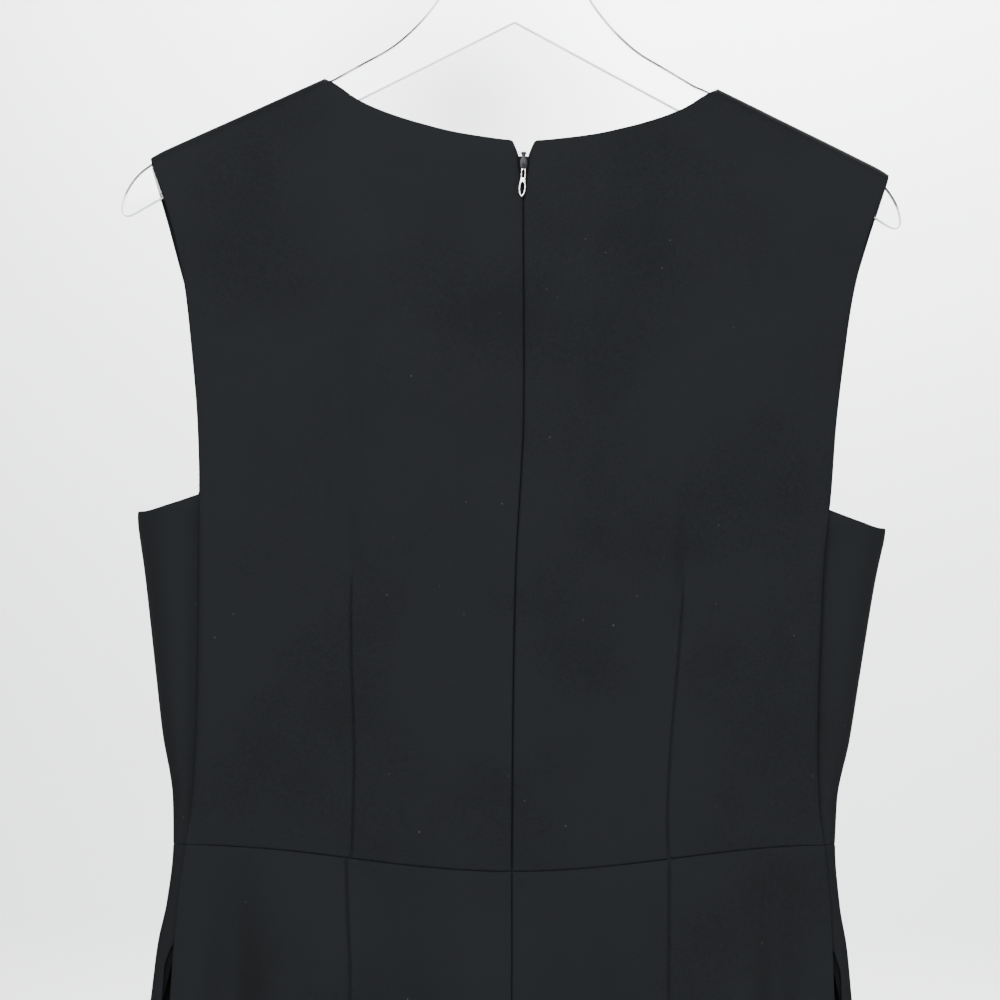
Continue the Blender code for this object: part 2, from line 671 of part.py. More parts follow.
def upper_rows(low, low_drop, top_x, top_drop, rounded, arm):
    """Rows of (x, drop) from the underarm to the top edge, for columns from the centre outwards.

    rounded marks the columns that carry on round the hanger to the shoulder seam. The last ones of the
    other columns, which end in the neckline, are cut out of those rows.
    """
    share_out = np.linspace(0.0, 1.0, len(low))
    rows = []
    steps = [(k / UPPER_ROWS, RIDGE) for k in range(UPPER_ROWS + 1)]
    steps += [(1.0, RIDGE * (1.0 - math.cos(math.radians(turn)))) for turn in RIDGE_TURNS]
    for share, under in steps:
        drop = low_drop + (top_drop + np.where(rounded, under, 0.0) - low_drop) * share
        climbed = (low_drop - drop) / (low_drop - top_drop)
        x = low + (top_x - low) * smooth(climbed)
        x = x + (read(arm, "half", drop[-1]) - x[-1]) * share_out ** 2
        if share == 1.0 and under < RIDGE:
            x = np.where(rounded, x, np.nan)
        rows.append((x, drop))
    return rows


def build_bodice_back(side, finish, collection):
    """One half of the back bodice, from the waist seam to the neckline, shoulder and armhole."""
    neck = np.array(NECK_COLUMNS_BACK)
    top_x = np.concatenate([neck, np.linspace(NECK_HALF, TIP_HALF, SHOULDER_COLUMNS + 1)[1:]])
    top_drop = np.where(top_x < NECK_HALF, read(NECK_BACK, "drop", top_x), ridge_drop(top_x))
    top_drop[0] = NOTCH_DROP
    low = np.linspace(0.0, read(ARM_BACK, "half", UNDERARM), len(top_x))
    rows = [(low / low[-1] * read(TRUNK, "seam", drop), np.full_like(low, drop))
            for drop in BODICE_ROWS[:-1]]
    rows += upper_rows(low, UNDERARM, top_x, top_drop, np.full(len(low), True), ARM_BACK)
    points = []
    for r, (x, drop) in enumerate(rows):
        x = np.maximum(x, zip_gap(drop))
        y = np.where(drop - ridge_drop(x) < FINE, -SEAM / 2, back_y(side * x, drop))
        level = drop + waist_dip(side * x, drop, WAIST_DIP_BACK) - (SEAM / 2 if r == 0 else 0.0)
        points.append([place_back(side, *values) for values in zip(x, y, level)])
    last = len(points) - 1

    def seam_axes(r, c):
        if r == last and c >= len(neck) - 1:
            return (0, 1)
        return (2,) * (r == 0) + (0,) * (c == 0)

    name = "bodice_back_left" if side == LEFT else "bodice_back_right"
    return wall(name, points, WALL, (0, -1, 0), seam_axes, finish, collection)


def bodice_front_section(side, drop):
    """Columns of the front bodice at one height, from the side seam to the centre."""
    main = front_main(side, drop)
    main[-1, 0] = 0.0
    split = read(ARM_FRONT, "half", ARM_JOIN) / read(TRUNK, "side", ARM_JOIN) * main[0, 0]
    share = np.interp(-split, -main[:, 0], shares_of(main))
    parts = [divide(front_return(drop), np.linspace(0, 1, RETURN_COLUMNS + 1)),
             divide(main, np.linspace(0, share, SIDE_COLUMNS + 1))[1:],
             divide(main, np.linspace(share, 1, NECK_COLUMNS_FRONT + SHOULDER_COLUMNS + 1))[1:]]
    return np.concatenate(parts)


def front_half_rows(side):
    """Outer points of half the front bodice: rows upwards, columns from the side seam to the centre."""
    arm_columns = RETURN_COLUMNS + SIDE_COLUMNS
    under_arm = bodice_front_section(side, UNDERARM)
    way = shares_of(under_arm[:arm_columns + 1])
    tops = np.full(len(under_arm), ARM_JOIN)
    tops[:arm_columns + 1] = read(ARM_CURVE, "drop", way)
    rows = []
    for r, row_drop in enumerate(BODICE_ROWS):
        share = (BODICE_ROWS[0] - row_drop) / (BODICE_ROWS[0] - BODICE_ROWS[-1])
        row = []
        for column, top in enumerate(tops):
            drop = BODICE_ROWS[0] + (top - BODICE_ROWS[0]) * share
            x, y = bodice_front_section(side, drop)[column]
            level = drop + waist_dip(side * x, drop, WAIST_DIP_FRONT) - (SEAM / 2 if r == 0 else 0.0)
            row.append(place(side, x, y, level))
        rows.append(row)
    join = bodice_front_section(side, ARM_JOIN)[arm_columns:][::-1]
    neck = np.linspace(0.0, NECK_FRONT["half"][-1], NECK_COLUMNS_FRONT + 1)
    neck[-1] = NECK_HALF
    top_x = np.concatenate([neck, np.linspace(NECK_HALF, TIP_HALF, SHOULDER_COLUMNS + 1)[1:]])
    rounded = top_x > NECK_HALF - FINE
    top_drop = np.where(rounded, ridge_drop(top_x), read(NECK_FRONT, "drop", top_x))
    for x, drop in upper_rows(join[:, 0], ARM_JOIN, top_x, top_drop, rounded, ARM_FRONT)[1:]:
        y = np.where(drop - ridge_drop(x) < FINE, SEAM / 2, front_y(side * x, drop))
        row = [None if math.isnan(values[0]) else place(side, *values) for values in zip(x, y, drop)]
        rows.append([None] * arm_columns + row[::-1])
    return rows


def build_bodice_front(finish, collection):
    """The front bodice, in one piece on the fold, reaching round both sides to the side seams."""
    rows = [left + right[-2::-1] for left, right in zip(front_half_rows(LEFT), front_half_rows(RIGHT))]
    last = len(rows) - 1

    def seam_axes(r, c):
        if r == last:
            return (0, 1)
        return (2,) * (r == 0)

    return wall("bodice_front", rows, WALL, (0, 1, 0), seam_axes, finish, collection)


def leg_seam_axes(columns):
    """Which axes stay level at a trouser piece's waist, hem, centre seam and inseam."""
    crotch_row = LEG_ROWS.index(int(CROTCH))

    def seam_axes(r, c):
        ends = (2,) * (r in (0, len(LEG_ROWS) - 1))
        if c != columns:
            return ends
        return ends + ((1,) if r >= crotch_row else (0,) if LEG_ROWS[r] <= SEAT_TOP + 100 else ())

    return seam_axes


def build_trouser_back(side, finish, collection):
    """A back leg, from the waist seam to the hem and from the side seam to the centre and inseam."""
    rows = []
    for r, drop in enumerate(LEG_ROWS):
        section = divide(back_section(side, drop), np.linspace(0, 1, LEG_COLUMNS + 1))
        below = SEAM / 2 if r == 0 else 0.0
        rows.append([place_back(side, x, y, drop + waist_dip(side * x, drop, WAIST_DIP_BACK) + below)
                     for x, y in section])
    name = "trouser_back_left" if side == LEFT else "trouser_back_right"
    return wall(name, rows, WALL, (0, -1, 0), leg_seam_axes(LEG_COLUMNS), finish, collection)


def trouser_front_section(side, drop):
    """Columns of a front leg at one height, from the side seam or slit to the centre or inseam."""
    turned = divide(cut_at_slit(front_return(drop), drop), np.linspace(0, 1, RETURN_COLUMNS + 1))
    main_part = divide(front_main(side, drop), np.linspace(0, 1, LEG_COLUMNS + 1) ** 1.2)
    return np.concatenate([turned, main_part[1:]])


def build_trouser_front(side, finish, collection):
    """A front leg. Its outer edge comes round to the back, open from the side seam at the pocket slit."""
    rows = []
    for r, drop in enumerate(LEG_ROWS):
        below = SEAM / 2 if r == 0 else 0.0
        rows.append([place(side, x, y, drop + waist_dip(side * x, drop, WAIST_DIP_FRONT) + below)
                     for x, y in trouser_front_section(side, drop)])
    name = "trouser_front_left" if side == LEFT else "trouser_front_right"
    seam_axes = leg_seam_axes(RETURN_COLUMNS + LEG_COLUMNS)
    return wall(name, rows, WALL, (0, 1, 0), seam_axes, finish, collection)


def bag_layer(side, drop, reach, from_back):
    """One layer of a pocket at one height, from the slit inwards. Both follow the front leg's columns."""
    panel = trouser_front_section(side, drop)
    free = smooth((np.arange(len(panel)) - RETURN_COLUMNS) / 3.0)
    beside = move_out(panel, -(WALL + BAG_SPACE + BAG_EASE * free), 1)
    length = np.concatenate([[0.0], np.cumsum(np.linalg.norm(np.diff(beside, axis=0), axis=1))])
    around = length[RETURN_COLUMNS]
    at = np.concatenate([length[:RETURN_COLUMNS], np.linspace(around, reach, BAG_COLUMNS + 1)])
    line = np.stack([np.interp(at, length, beside[:, axis]) for axis in (0, 1)], axis=1)
    if from_back:
        line = move_out(line, -(BAG_WALL + BAG_SPACE), 1)
        shut = 1.0 - slit(drop)
        deep = WALL + BAG_WALL + BAG_SPACE + (WALL + 2 * SEAM) * shut
        mouth = np.array([read(TRUNK, "seam", drop) - BAG_INSET - LAP * shut,
                          read(TRUNK, "seam_y", drop) + deep])
        across = RETURN_COLUMNS + 2
        line[:across] = mouth + (line[across] - mouth) * np.linspace(0, 1, across + 1)[:-1, None]
    return line


def build_pocket(side, from_back, finish, collection):
    """A layer of a side-seam pocket: the front one is sewn to the front leg's slit, the other behind it."""
    name = f"pocket_{'left' if side == LEFT else 'right'}_{'back' if from_back else 'front'}"
    rows = []
    for drop, reach in zip(BAG["drop"], BAG["reach"]):
        rows.append([place(side, x, y, drop + waist_dip(side * x, drop, WAIST_DIP_FRONT))
                     for x, y in bag_layer(side, drop, reach, from_back)])
    return wall(name, rows, BAG_WALL, (0, 1, 0), lambda r, c: (2,), finish, collection)


# ---- zip ---------------------------------------------------------------------------------------

def zip_face(x, drop):
    """Depth of the tape's outer face: behind the deeper of the two back pieces."""
    depths = []
    for side in (LEFT, RIGHT):
        section = back_section(side, drop)[::-1]
        depths.append(float(np.interp(abs(x), section[:, 0], section[:, 1])))
    return max(depths) + WALL + TAPE_BEHIND


def build_zip_tape(finish, collection):
    """The concealed zip's tape, inside the centre back from the neck notch to the hip."""
    rows = []
    for drop in (TAPE_TOP, *TAPE_ROWS, TAPE_BOTTOM):
        level = drop + waist_dip(0.0, drop, WAIST_DIP_BACK)
        rows.append([place_back(RIGHT, x, zip_face(x, drop), level)
                     for x in np.linspace(-TAPE_HALF, TAPE_HALF, TAPE_COLUMNS + 1)])
    return wall("zip_tape", rows, TAPE_THICK, (0, -1, 0), lambda r, c: (0, 2), finish, collection)


def mirrored(half):
    """A closed outline from its right half, listed from bottom to top."""
    return [*half, *((-x, z) for x, z in reversed(half) if x > 0)]


def slider_face():
    """Depth of the slider's outer face."""
    return float(back_y(ZIP_OPEN, SLIDER_DROP)) - SLIDER_PROUD


def zip_middle():
    """The slider's place across, from the hook's middle."""
    return float(read(HANG, "aside", SLIDER_DROP) + sway(0.0, SLIDER_DROP))


def build_zip_slider(finish, collection, make):
    """The slider: a body in the gap between the back edges, and the bridge that holds the pull."""
    rear = zip_face(0.0, SLIDER_DROP) - SLIDER_SPACE
    front = slider_face()
    middle = (rear + front) / 2
    mesh = flat_plate("zip_slider", [mirrored(SLIDER_OUTLINE)], rear - front, make)
    for vertex in mesh.vertices:
        vertex.co.y += middle * MM
    reach = front - ARCH_OUT
    half = [(front + ARCH_ROOT, 0.0), (reach + ARCH_CORNER, 0.0), (reach, ARCH_CORNER)]
    arch_path = [(0.0, y, ARCH_TOP - in_from_end) for y, in_from_end in half]
    arch_path += [(0.0, y, ARCH_BOTTOM + in_from_end) for y, in_from_end in reversed(half)]
    arch = add_object("bridge_union", tube("bridge_union", arch_path, ARCH_ROD, make), finish, make)
    body = add_object("zip_slider", mesh, finish, collection)
    add_boolean(body, arch, "UNION")
    for made in (arch, body):
        made.location = (zip_middle() * MM, 0.0, (-NECK_BELOW_HOOK - SLIDER_DROP) * MM)
    return body


def build_zip_pull(finish, collection, make):
    """The pull: a bar under the slider's bridge, a slotted neck and a leaf-shaped ring."""
    outlines = [mirrored(outline) for outline in (PULL_OUTLINE, PULL_SLOT, PULL_RING)]
    mesh = flat_plate("zip_pull", outlines, PULL_THICK, make)
    pull = add_object("zip_pull", mesh, finish, collection)
    bar = ARCH_BOTTOM + ARCH_ROD / 2 + SEAM + PULL_BAR / 2
    level = -NECK_BELOW_HOOK - SLIDER_DROP + bar
    pull.location = (zip_middle() * MM, (slider_face() - PULL_OUT) * MM, level * MM)
    pull.rotation_euler = (0.0, PULL_LEAN, 0.0)
    return pull


# ---- hanger ------------------------------------------------------------------------------------

def hanger_outline():
    """The plate's outline in x and height, from its lower edge's middle round one end to its top."""
    half = [(x, PLATE_APEX + x * PLATE_SLOPE) for x in PLATE_LOWER_AT]
    half += list(zip(PLATE_END["half"], PLATE_END["drop"]))
    half += [(x, ridge_drop(x) + PLATE_UNDER_CLOTH) for x in PLATE_SHOULDER_AT]
    half += [(x, float(read(PLATE_UPPER, "drop", x))) for x in PLATE_UPPER["half"][::-1]]
    return mirrored([(float(x), float(-NECK_BELOW_HOOK - drop)) for x, drop in half])


def build_hanger_plate(finish, collection, make):
    """The clear plate, with a blind hole in its top for the hook."""
    plate = add_object("hanger_plate", flat_plate("hanger_plate", [hanger_outline()], PLATE_THICK, make),
                       finish, collection)
    add_bevel(plate, PLATE_EDGE, 3)
    top = -NECK_BELOW_HOOK - PLATE_TOP
    hole = [(0.0, 0.0, top - ROD_DEPTH), (0.0, 0.0, top + ROD)]
    cutter = add_object("hook_hole_cut", tube("hook_hole_cut", hole, ROD + 2 * SEAM, make, 4), finish, make)
    add_boolean(plate, cutter, "DIFFERENCE")
    return plate


def hook_path():
    """The wire's middle: up out of the plate, round the loop and over to its tip."""
    centre = ROD / 2 - HOOK_RADIUS
    top = -NECK_BELOW_HOOK - PLATE_TOP
    join = math.radians(HOOK_JOIN)
    start = np.array([0.0, top + HOOK_STRAIGHT])
    end = np.array([HOOK_RADIUS * math.cos(join), centre + HOOK_RADIUS * math.sin(join)])
    along = np.array([-math.sin(join), math.cos(join)])
    pulls = (start, start + (0.0, HOOK_PULL), end - along * HOOK_PULL, end)
    points = [(0.0, top - ROD_DEPTH + SEAM), (0.0, top - HOOK_STRAIGHT)]
    for t in np.linspace(0.0, 1.0, HOOK_BEND_STEPS + 1):
        weights = ((1 - t) ** 3, 3 * t * (1 - t) ** 2, 3 * t * t * (1 - t), t ** 3)
        points.append(tuple(sum(weight * point for weight, point in zip(weights, pulls))))
    for angle in np.radians(np.linspace(HOOK_FIRST, HOOK_TIP, HOOK_LOOP_STEPS + 1)):
        points.append((HOOK_RADIUS * math.cos(angle), centre + HOOK_RADIUS * math.sin(angle)))
    return [(x, 0.0, z) for x, z in points]


def build_hanger_hook(finish, collection, make):
    """The metal hook."""
    return add_object("hanger_hook", tube("hanger_hook", hook_path(), ROD, make), finish, collection)


def main():
    for old in list(bpy.data.objects):
        bpy.data.objects.remove(old)
    parts = bpy.data.collections.new("jumpsuit_on_hanger")
    make = bpy.data.collections.new("cutters")
    for collection in (parts, make):
        bpy.context.scene.collection.children.link(collection)
    cloth = material("black cloth", (0.020, 0.022, 0.025), 0.85)
    lining = material("pocket cloth", (0.018, 0.018, 0.020), 0.9)
    tape = material("zip tape", (0.015, 0.015, 0.017), 0.8)
    black_metal = material("black metal", (0.02, 0.02, 0.02), 0.35, metallic=0.8)
    silver_metal = material("silver metal", (0.62, 0.62, 0.63), 0.25, metallic=1.0)
    clear = material("clear plate", (0.93, 0.95, 0.95), 0.06, transmission=1.0)
    for side in (LEFT, RIGHT):
        build_bodice_back(side, cloth, parts)
        build_trouser_back(side, cloth, parts)
        build_trouser_front(side, cloth, parts)
        for from_back in (False, True):
            build_pocket(side, from_back, lining, parts)
    build_bodice_front(cloth, parts)
    build_zip_tape(tape, parts)
    build_zip_slider(black_metal, parts, make)
    build_zip_pull(silver_metal, parts, make)
    build_hanger_plate(clear, parts, make)
    build_hanger_hook(silver_metal, parts, make)


main()
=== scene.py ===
"""Looks of the sleeveless jumpsuit on its clear hanger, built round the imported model.

Lengths are in millimetres until a point is placed. A height on the garment is its drop below the neck
points, a half-width is measured from the garment's middle plane, and the garment's back faces -Y.
"""
import math

import bpy
import numpy as np
from mathutils import Matrix, Vector


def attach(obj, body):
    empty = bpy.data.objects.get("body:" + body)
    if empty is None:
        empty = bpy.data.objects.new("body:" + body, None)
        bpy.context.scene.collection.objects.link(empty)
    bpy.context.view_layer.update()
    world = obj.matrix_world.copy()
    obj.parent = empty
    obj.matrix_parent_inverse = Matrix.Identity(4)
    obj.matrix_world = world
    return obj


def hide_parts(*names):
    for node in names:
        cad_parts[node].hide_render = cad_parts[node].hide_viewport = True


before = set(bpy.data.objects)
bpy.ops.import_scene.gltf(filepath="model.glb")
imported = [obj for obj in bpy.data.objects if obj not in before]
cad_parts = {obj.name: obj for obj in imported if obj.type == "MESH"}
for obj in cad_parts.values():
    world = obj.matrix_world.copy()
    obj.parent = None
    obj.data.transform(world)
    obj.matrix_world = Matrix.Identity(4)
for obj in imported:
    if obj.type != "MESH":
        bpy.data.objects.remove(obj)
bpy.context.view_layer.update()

MM = 0.001
LEFT, RIGHT = -1, 1
BODY, PULL_BODY = "jumpsuit", "pull"

# ---- sizes shared with the solids ----------------------------------------------------------------
WALL, SEAM, LAP, LAP_SPACE = 1.6, 0.3, 3.0, 0.45
NECK_BELOW_HOOK = 150.0
WAIST, WAIST_DIP_BACK, WAIST_DIP_FRONT, WAIST_LEAN, WAIST_FADE = 401.8, 13.8, 6.0, -2.05, 80.0
WAIST_WIDE = 170.0                      # half the waist seam, for its dip
SEAT_TOP, CROTCH, HEM, UNDERARM, ARM_JOIN = 520.0, 687.0, 1372.0, 220.0, 195.0
NECK_HALF, TIP_HALF, TIP_DROP, RIDGE = 103.6, 195.3, 43.2, 8.6
SHOULDER_SLOPE = TIP_DROP / (TIP_HALF - NECK_HALF)
NOTCH_DROP, ZIP_OPEN, ZIP_CLOSED_BELOW, ZIP_OPEN_FADE = 38.2, 2.4, 62.0, 20.0
TAPE_HALF, TAPE_THICK, TAPE_BEHIND, TAPE_TOP, TAPE_BOTTOM = 12.0, 0.9, 0.5, 39.0, 560.0
SLIT_TOP, SLIT_BOTTOM, SLIT_OPEN = 444.0, 604.0, 7.3
BUST_X, BUST_DROP, BUST_WIDE, BUST_HIGH, BUST_OUT = 88.0, 262.0, 50.0, 62.0, 9.0
BACK_FLAT, SEAT_FLAT, FLAT_FADE = 6.0, 3.0, 180.0       # power of the back's curve, and of the seat's
FOLDS_CLEAR, FOLDS_FADE = 12.0, 30.0    # the back's folds end above the waist seam, over this height
FRONT_ROUND = 3.0                       # power of the front's curve
TURN_SHARE, TURN_TO = 0.25, 0.8         # share of the front that turns in from its edge, and where that ends
LEG_ROUND = 2.4                         # power of a leg's ring
SEAT_SOFT = 4                           # how quickly the round at the seat seam fades outwards
LEG_CLEAR, LEG_CLEAR_DROP, LEG_APART = 1.2, 60.0, 5.0   # space between the legs, and at the hem
DENSE = 240                             # points across a piece's section
FINE = 0.01                             # smaller than any size here


def table(names, *rows):
    """A short table's columns by name; the first column is what the others are read against."""
    return {name: np.array(column, float) for name, column in zip(names.split(), zip(*rows))}


TRUNK = table(
    "drop  side   seam   back   seam_y side_y front",
    (0,    206.0, 203.0, -8.6,  -8.5,  8.5,   8.7),
    (60,   206.0, 201.0, -9.7,  -9.2,  9.0,   11.0),
    (120,  205.0, 185.0, -11.2, -9.6,  9.8,   17.5),
    (170,  203.5, 172.0, -12.4, -9.6,  11.5,  24.0),
    (220,  201.0, 166.2, -13.0, -10.0, 14.0,  29.0),
    (231,  199.4, 165.8, -13.1, -10.0, 14.0,  29.5),
    (261,  194.0, 164.8, -13.2, -10.0, 13.0,  29.5),
    (291,  189.6, 164.3, -13.2, -10.0, 11.0,  27.0),
    (315,  186.3, 164.0, -12.8, -9.6,  9.0,   23.5),
    (345,  182.0, 164.2, -12.0, -9.0,  6.0,   18.0),
    (379,  175.6, 165.6, -10.5, -7.6,  2.5,   11.8),
    (402,  174.9, 168.6, -9.8,  -6.8,  1.0,   9.8),
    (433,  177.8, 172.2, -10.8, -7.0,  1.0,   11.0),
    (455,  182.0, 173.8, -12.2, -7.2,  1.2,   13.2),
    (485,  185.4, 175.4, -15.0, -7.8,  1.5,   17.0),
    (540,  192.5, 180.0, -21.5, -9.0,  1.5,   24.5),
    (600,  199.5, 186.5, -28.0, -10.0, 1.5,   31.0),
    (687,  206.5, 195.5, -34.0, -11.0, 1.0,   38.0),
    (850,  212.5, 204.0, -35.0, -10.5, 0.5,   38.0),
    (1100, 219.0, 212.5, -29.0, -8.5,  0.0,   31.0),
    (1372, 225.0, 220.0, -21.0, -6.5,  0.0,   22.0),
)
NECK_BACK = table(
    "half  drop",
    (0.0,   30.6),
    (7.2,   30.3),
    (16.7,  29.3),
    (36.3,  26.6),
    (54.3,  22.6),
    (73.9,  16.6),
    (86.7,  11.0),
    (97.5,  3.6),
    (103.6, 0.0),
)
NECK_FRONT = table(
    "half  drop",
    (0.0,   92.0),
    (22.0,  90.0),
    (45.0,  82.5),
    (66.0,  68.0),
    (83.0,  47.0),
    (95.0,  25.0),
    (101.5, 8.6),
    (103.6, 0.0),
)
ARM_BACK = table(
    "drop  half",
    (43.2,  195.3),
    (48.0,  193.9),
    (61.5,  188.9),
    (78.7,  183.2),
    (98.0,  178.5),
    (114.5, 175.4),
    (140.2, 172.2),
    (181.0, 168.2),
    (220.0, 166.2),
)
ARM_FRONT = table(
    "drop  half",
    (43.2,  195.3),
    (48.0,  194.6),
    (61.5,  190.8),
    (78.7,  185.6),
    (98.0,  180.2),
    (114.5, 175.6),
    (140.2, 169.4),
    (170.0, 163.6),
    (195.0, 161.5),
)
ARM_CURVE = table(
    "way   drop",
    (0.00, UNDERARM),
    (0.20, 226.2),
    (0.40, 230.6),
    (0.55, 231.0),
    (0.75, 230.0),
    (0.90, 224.0),
    (1.00, ARM_JOIN),
)
FOLD_NAMES = "x0 drop0 x1 drop1 wide high"
BACK_FOLDS = table(
    FOLD_NAMES,
    (-85.0, 80.0,  -62.5, 190.0, 15.0, 1.8),
    (-99.0, 140.0, -87.0, 262.0, 11.0, -2.6),
    (-37.0, 118.0, -16.0, 200.0, 11.0, -1.6),
    (67.0,  145.0, 33.0,  236.0, 12.0, -2.0),
    (84.0,  180.0, 77.0,  270.0, 10.0, 2.0),
    (96.0,  236.0, 88.0,  292.0, 10.0, -2.6),
    (128.0, 262.0, 114.0, 335.0, 14.0, 1.6),
)
LEG_DROPS = (WAIST + 8, 485.0, 640.0, 1000.0, HEM)
LEG_NAMES = "side way wide h0 h1 h2 h3 h4"
LEG_FOLDS_BACK = table(
    LEG_NAMES,
    (LEFT,  0.17, 0.085, 0, -3.4, -7.0, -6.0, -4.0),
    (LEFT,  0.33, 0.080, 0, 1.2,  3.5,  4.0,  3.0),
    (LEFT,  0.47, 0.070, 0, 1.0,  4.0,  5.0,  4.0),
    (LEFT,  0.63, 0.100, 0, -3.8, -8.0, -7.0, -4.5),
    (RIGHT, 0.16, 0.080, 0, -2.8, -6.5, -6.5, -4.0),
    (RIGHT, 0.30, 0.080, 0, 0.8,  3.0,  4.0,  2.5),
    (RIGHT, 0.52, 0.110, 0, 1.2,  4.5,  5.0,  4.0),
    (RIGHT, 0.76, 0.090, 0, -3.8, -7.0, -6.0, -4.0),
)
LEG_FOLDS_FRONT = table(
    LEG_NAMES,
    (LEFT,  0.30, 0.080, 0, -2.6, -6.0, -6.0, -4.0),
    (LEFT,  0.52, 0.080, 0, 1.4,  5.0,  6.0,  5.0),
    (LEFT,  0.70, 0.090, 0, -2.6, -7.0, -6.5, -4.0),
    (RIGHT, 0.27, 0.085, 0, -2.8, -6.5, -5.5, -4.0),
    (RIGHT, 0.52, 0.080, 0, 1.4,  5.0,  6.0,  5.0),
    (RIGHT, 0.73, 0.080, 0, -2.4, -6.5, -7.0, -4.0),
)
# How the garment hangs: how far it lies aside of the hook, and how far its sides lean up and down.
HANG = table(
    "drop  aside lean",
    (0,    4.0,  1.0),
    (200,  4.0,  1.7),
    (255,  2.3,  1.6),
    (402,  1.2,  0.0),
    (1372, 1.2,  0.0),
)
SWAY = table(                       # how far the back's middle lies from the garment's
    "drop  aside",
    (0,    1.1),
    (60,   1.6),
    (178,  3.4),
    (215,  2.4),
    (275,  2.2),
    (415,  3.8),
    (485,  4.4),
    (720,  0.0),
)
SWAY_ALL, SWAY_FADE, SWAY_NECK, SWAY_SEAM, SWAY_ENDS = 40.0, 80.0, 95.0, 163.0, 60.0

# ---- what only the sewn cloth has ----------------------------------------------------------------
DART_BACK = table(                  # line of the back's waist darts, above and below the waist, on each side
    "drop  left  right",
    (0.0,   86.6, 89.0),
    (256.0, 86.4, 89.0),
    (300.0, 85.6, 86.7),
    (357.0, 83.4, 82.6),
    (380.0, 83.9, 81.7),
    (401.7, 85.3, 82.5),
    (401.9, 87.2, 82.7),
    (485.0, 84.7, 82.1),
    (700.0, 92.0, 90.0),
    (HEM,   104.0, 104.0),
)
DART_APEX_BACK, DART_END_TROUSER = 256.0, 545.0
DART_FRONT_X, DART_APEX_FRONT = 86.0, 296.0
HEM_FOLD = 38.0                     # height of the turned-up hem
NOTCH_WIDE = 3.7                    # half-width of the notch over the zip, beyond the gap
NOTCH_CURVE = 1.25                  # power of the notch's edge
CLOTH = 1.3                         # thickness of the finished cloth
WAIST_GAP, WAIST_GAP_FADE = 0.06, 3.0   # half the line between bodice and trousers, and its fading
WAIST_TURN, WAIST_TURN_WIDE = 150.0, 12.0       # the waist seam grows shallow this far out, over this width
SIDE_SINK = {LEFT: 4.4, RIGHT: 3.8}     # how far a front panel is drawn in at its side seam
SIDE_ROLL, SIDE_ROLL_WIDE = 3.0, 4.5    # how far the back's edge is drawn in there, and over what width
TUCK_FADE, TUCK_WIDE = 25.0, 20.0       # both fade over this height; a wider panel is drawn in no more
SLIT_TOP_FADE, SLIT_END_FADE = 26.0, 40.0       # lengths over which the pocket slit opens and closes
DART_FADE, DART_END_FADE = 16.0, 60.0   # a dart comes to nothing over these heights
DART_PUCKERS, WAIST_PUCKERS, SEAM_PUCKERS = 8.5, 9.5, 13.0      # wavelengths beside the bodice's stitches
LEG_DART_PUCKERS, LEG_WAIST_PUCKERS, HEM_PUCKERS = 8.0, 9.0, 11.0   # and beside the trousers'
UNEVEN, UNEVEN_LEG, UNEVEN_FADE = 0.16, 0.3, 8.0        # height of the cloth's unevenness, less at an edge

# Small creases, each from one end to the other, with half-width and height (minus is a trough).
BACK_CREASES = table(
    FOLD_NAMES,
    (-88.0, 262.0, -98.0, 206.0, 7.0, -1.5),
    (90.0,  262.0, 88.0,  212.0, 7.0, -1.5),
    (-72.0, 46.0,  -52.0, 50.0,  5.0, -0.8),
    (-60.0, 54.0,  -40.0, 57.0,  5.0, 0.7),
    (136.0, 360.0, 122.0, 386.0, 9.0, -1.2),
    (40.0,  236.0, 22.0,  268.0, 9.0, -1.2),
)
FRONT_CREASES = table(
    FOLD_NAMES,
    (-86.0, 292.0, -96.0, 236.0, 8.0, -1.0),
    (86.0,  292.0, 94.0,  240.0, 8.0, -1.0),
    (-40.0, 110.0, -22.0, 180.0, 12.0, -1.4),
    (48.0,  120.0, 26.0,  200.0, 12.0, -1.2),
    (-120.0, 130.0, -112.0, 210.0, 10.0, 1.4),
    (118.0, 140.0, 108.0, 220.0, 10.0, 1.2),
    (-30.0, 330.0, -24.0, 385.0, 12.0, -1.0),
)
SEAT_CREASES = table(
    FOLD_NAMES,
    (-51.0, 488.0, -44.0, 690.0, 17.0, -9.0),
    (-143.0, 436.0, -146.0, 640.0, 14.0, -7.5),
    (25.0,  486.0, 30.0,  690.0, 16.0, -9.0),
    (141.0, 436.0, 146.0, 640.0, 11.0, -5.0),
    (-22.0, 440.0, -14.0, 620.0, 12.0, 2.2),
    (86.0,  440.0, 90.0,  640.0, 30.0, 3.0),
    (-106.0, 440.0, -108.0, 640.0, 17.0, 2.4),
)
PITCH = 3.2                         # usual distance between points of a finished cloth
EDGE = np.array([0.0, 0.12, 0.35, 0.7, 1.2, 2.0, 3.2, 5.0, 7.5])    # closer ones beside an edge
DART = np.array([0.0, 0.25, 0.55, 1.0, 1.8, 3.0, 5.0])              # and beside a dart
BACK_COLUMNS, BACK_ROWS = 20, 46    # even ones between: across each half of a back, and up to its neck
FRONT_COLUMNS, FRONT_LOW_ROWS, FRONT_ROWS = 18, 50, 44     # the front's, below and above its armhole
OUTER_COLUMNS, INNER_COLUMNS = 18, 22   # on both sides of a back leg's dart
FRONT_LEG_COLUMNS, LEG_ROWS = 54, 112
LEVEL_STEP = 2.0                    # height between the sections that the front bodice is read from
INSET_MOST = 0.55                   # the most that the cloth's inner face is set in
FAR = 99.0                          # further than an edge's or a seam's relief reaches
TURNS = np.linspace(90.0, 0.0, 10)  # degrees round the hanger's edge, up to the shoulder seam

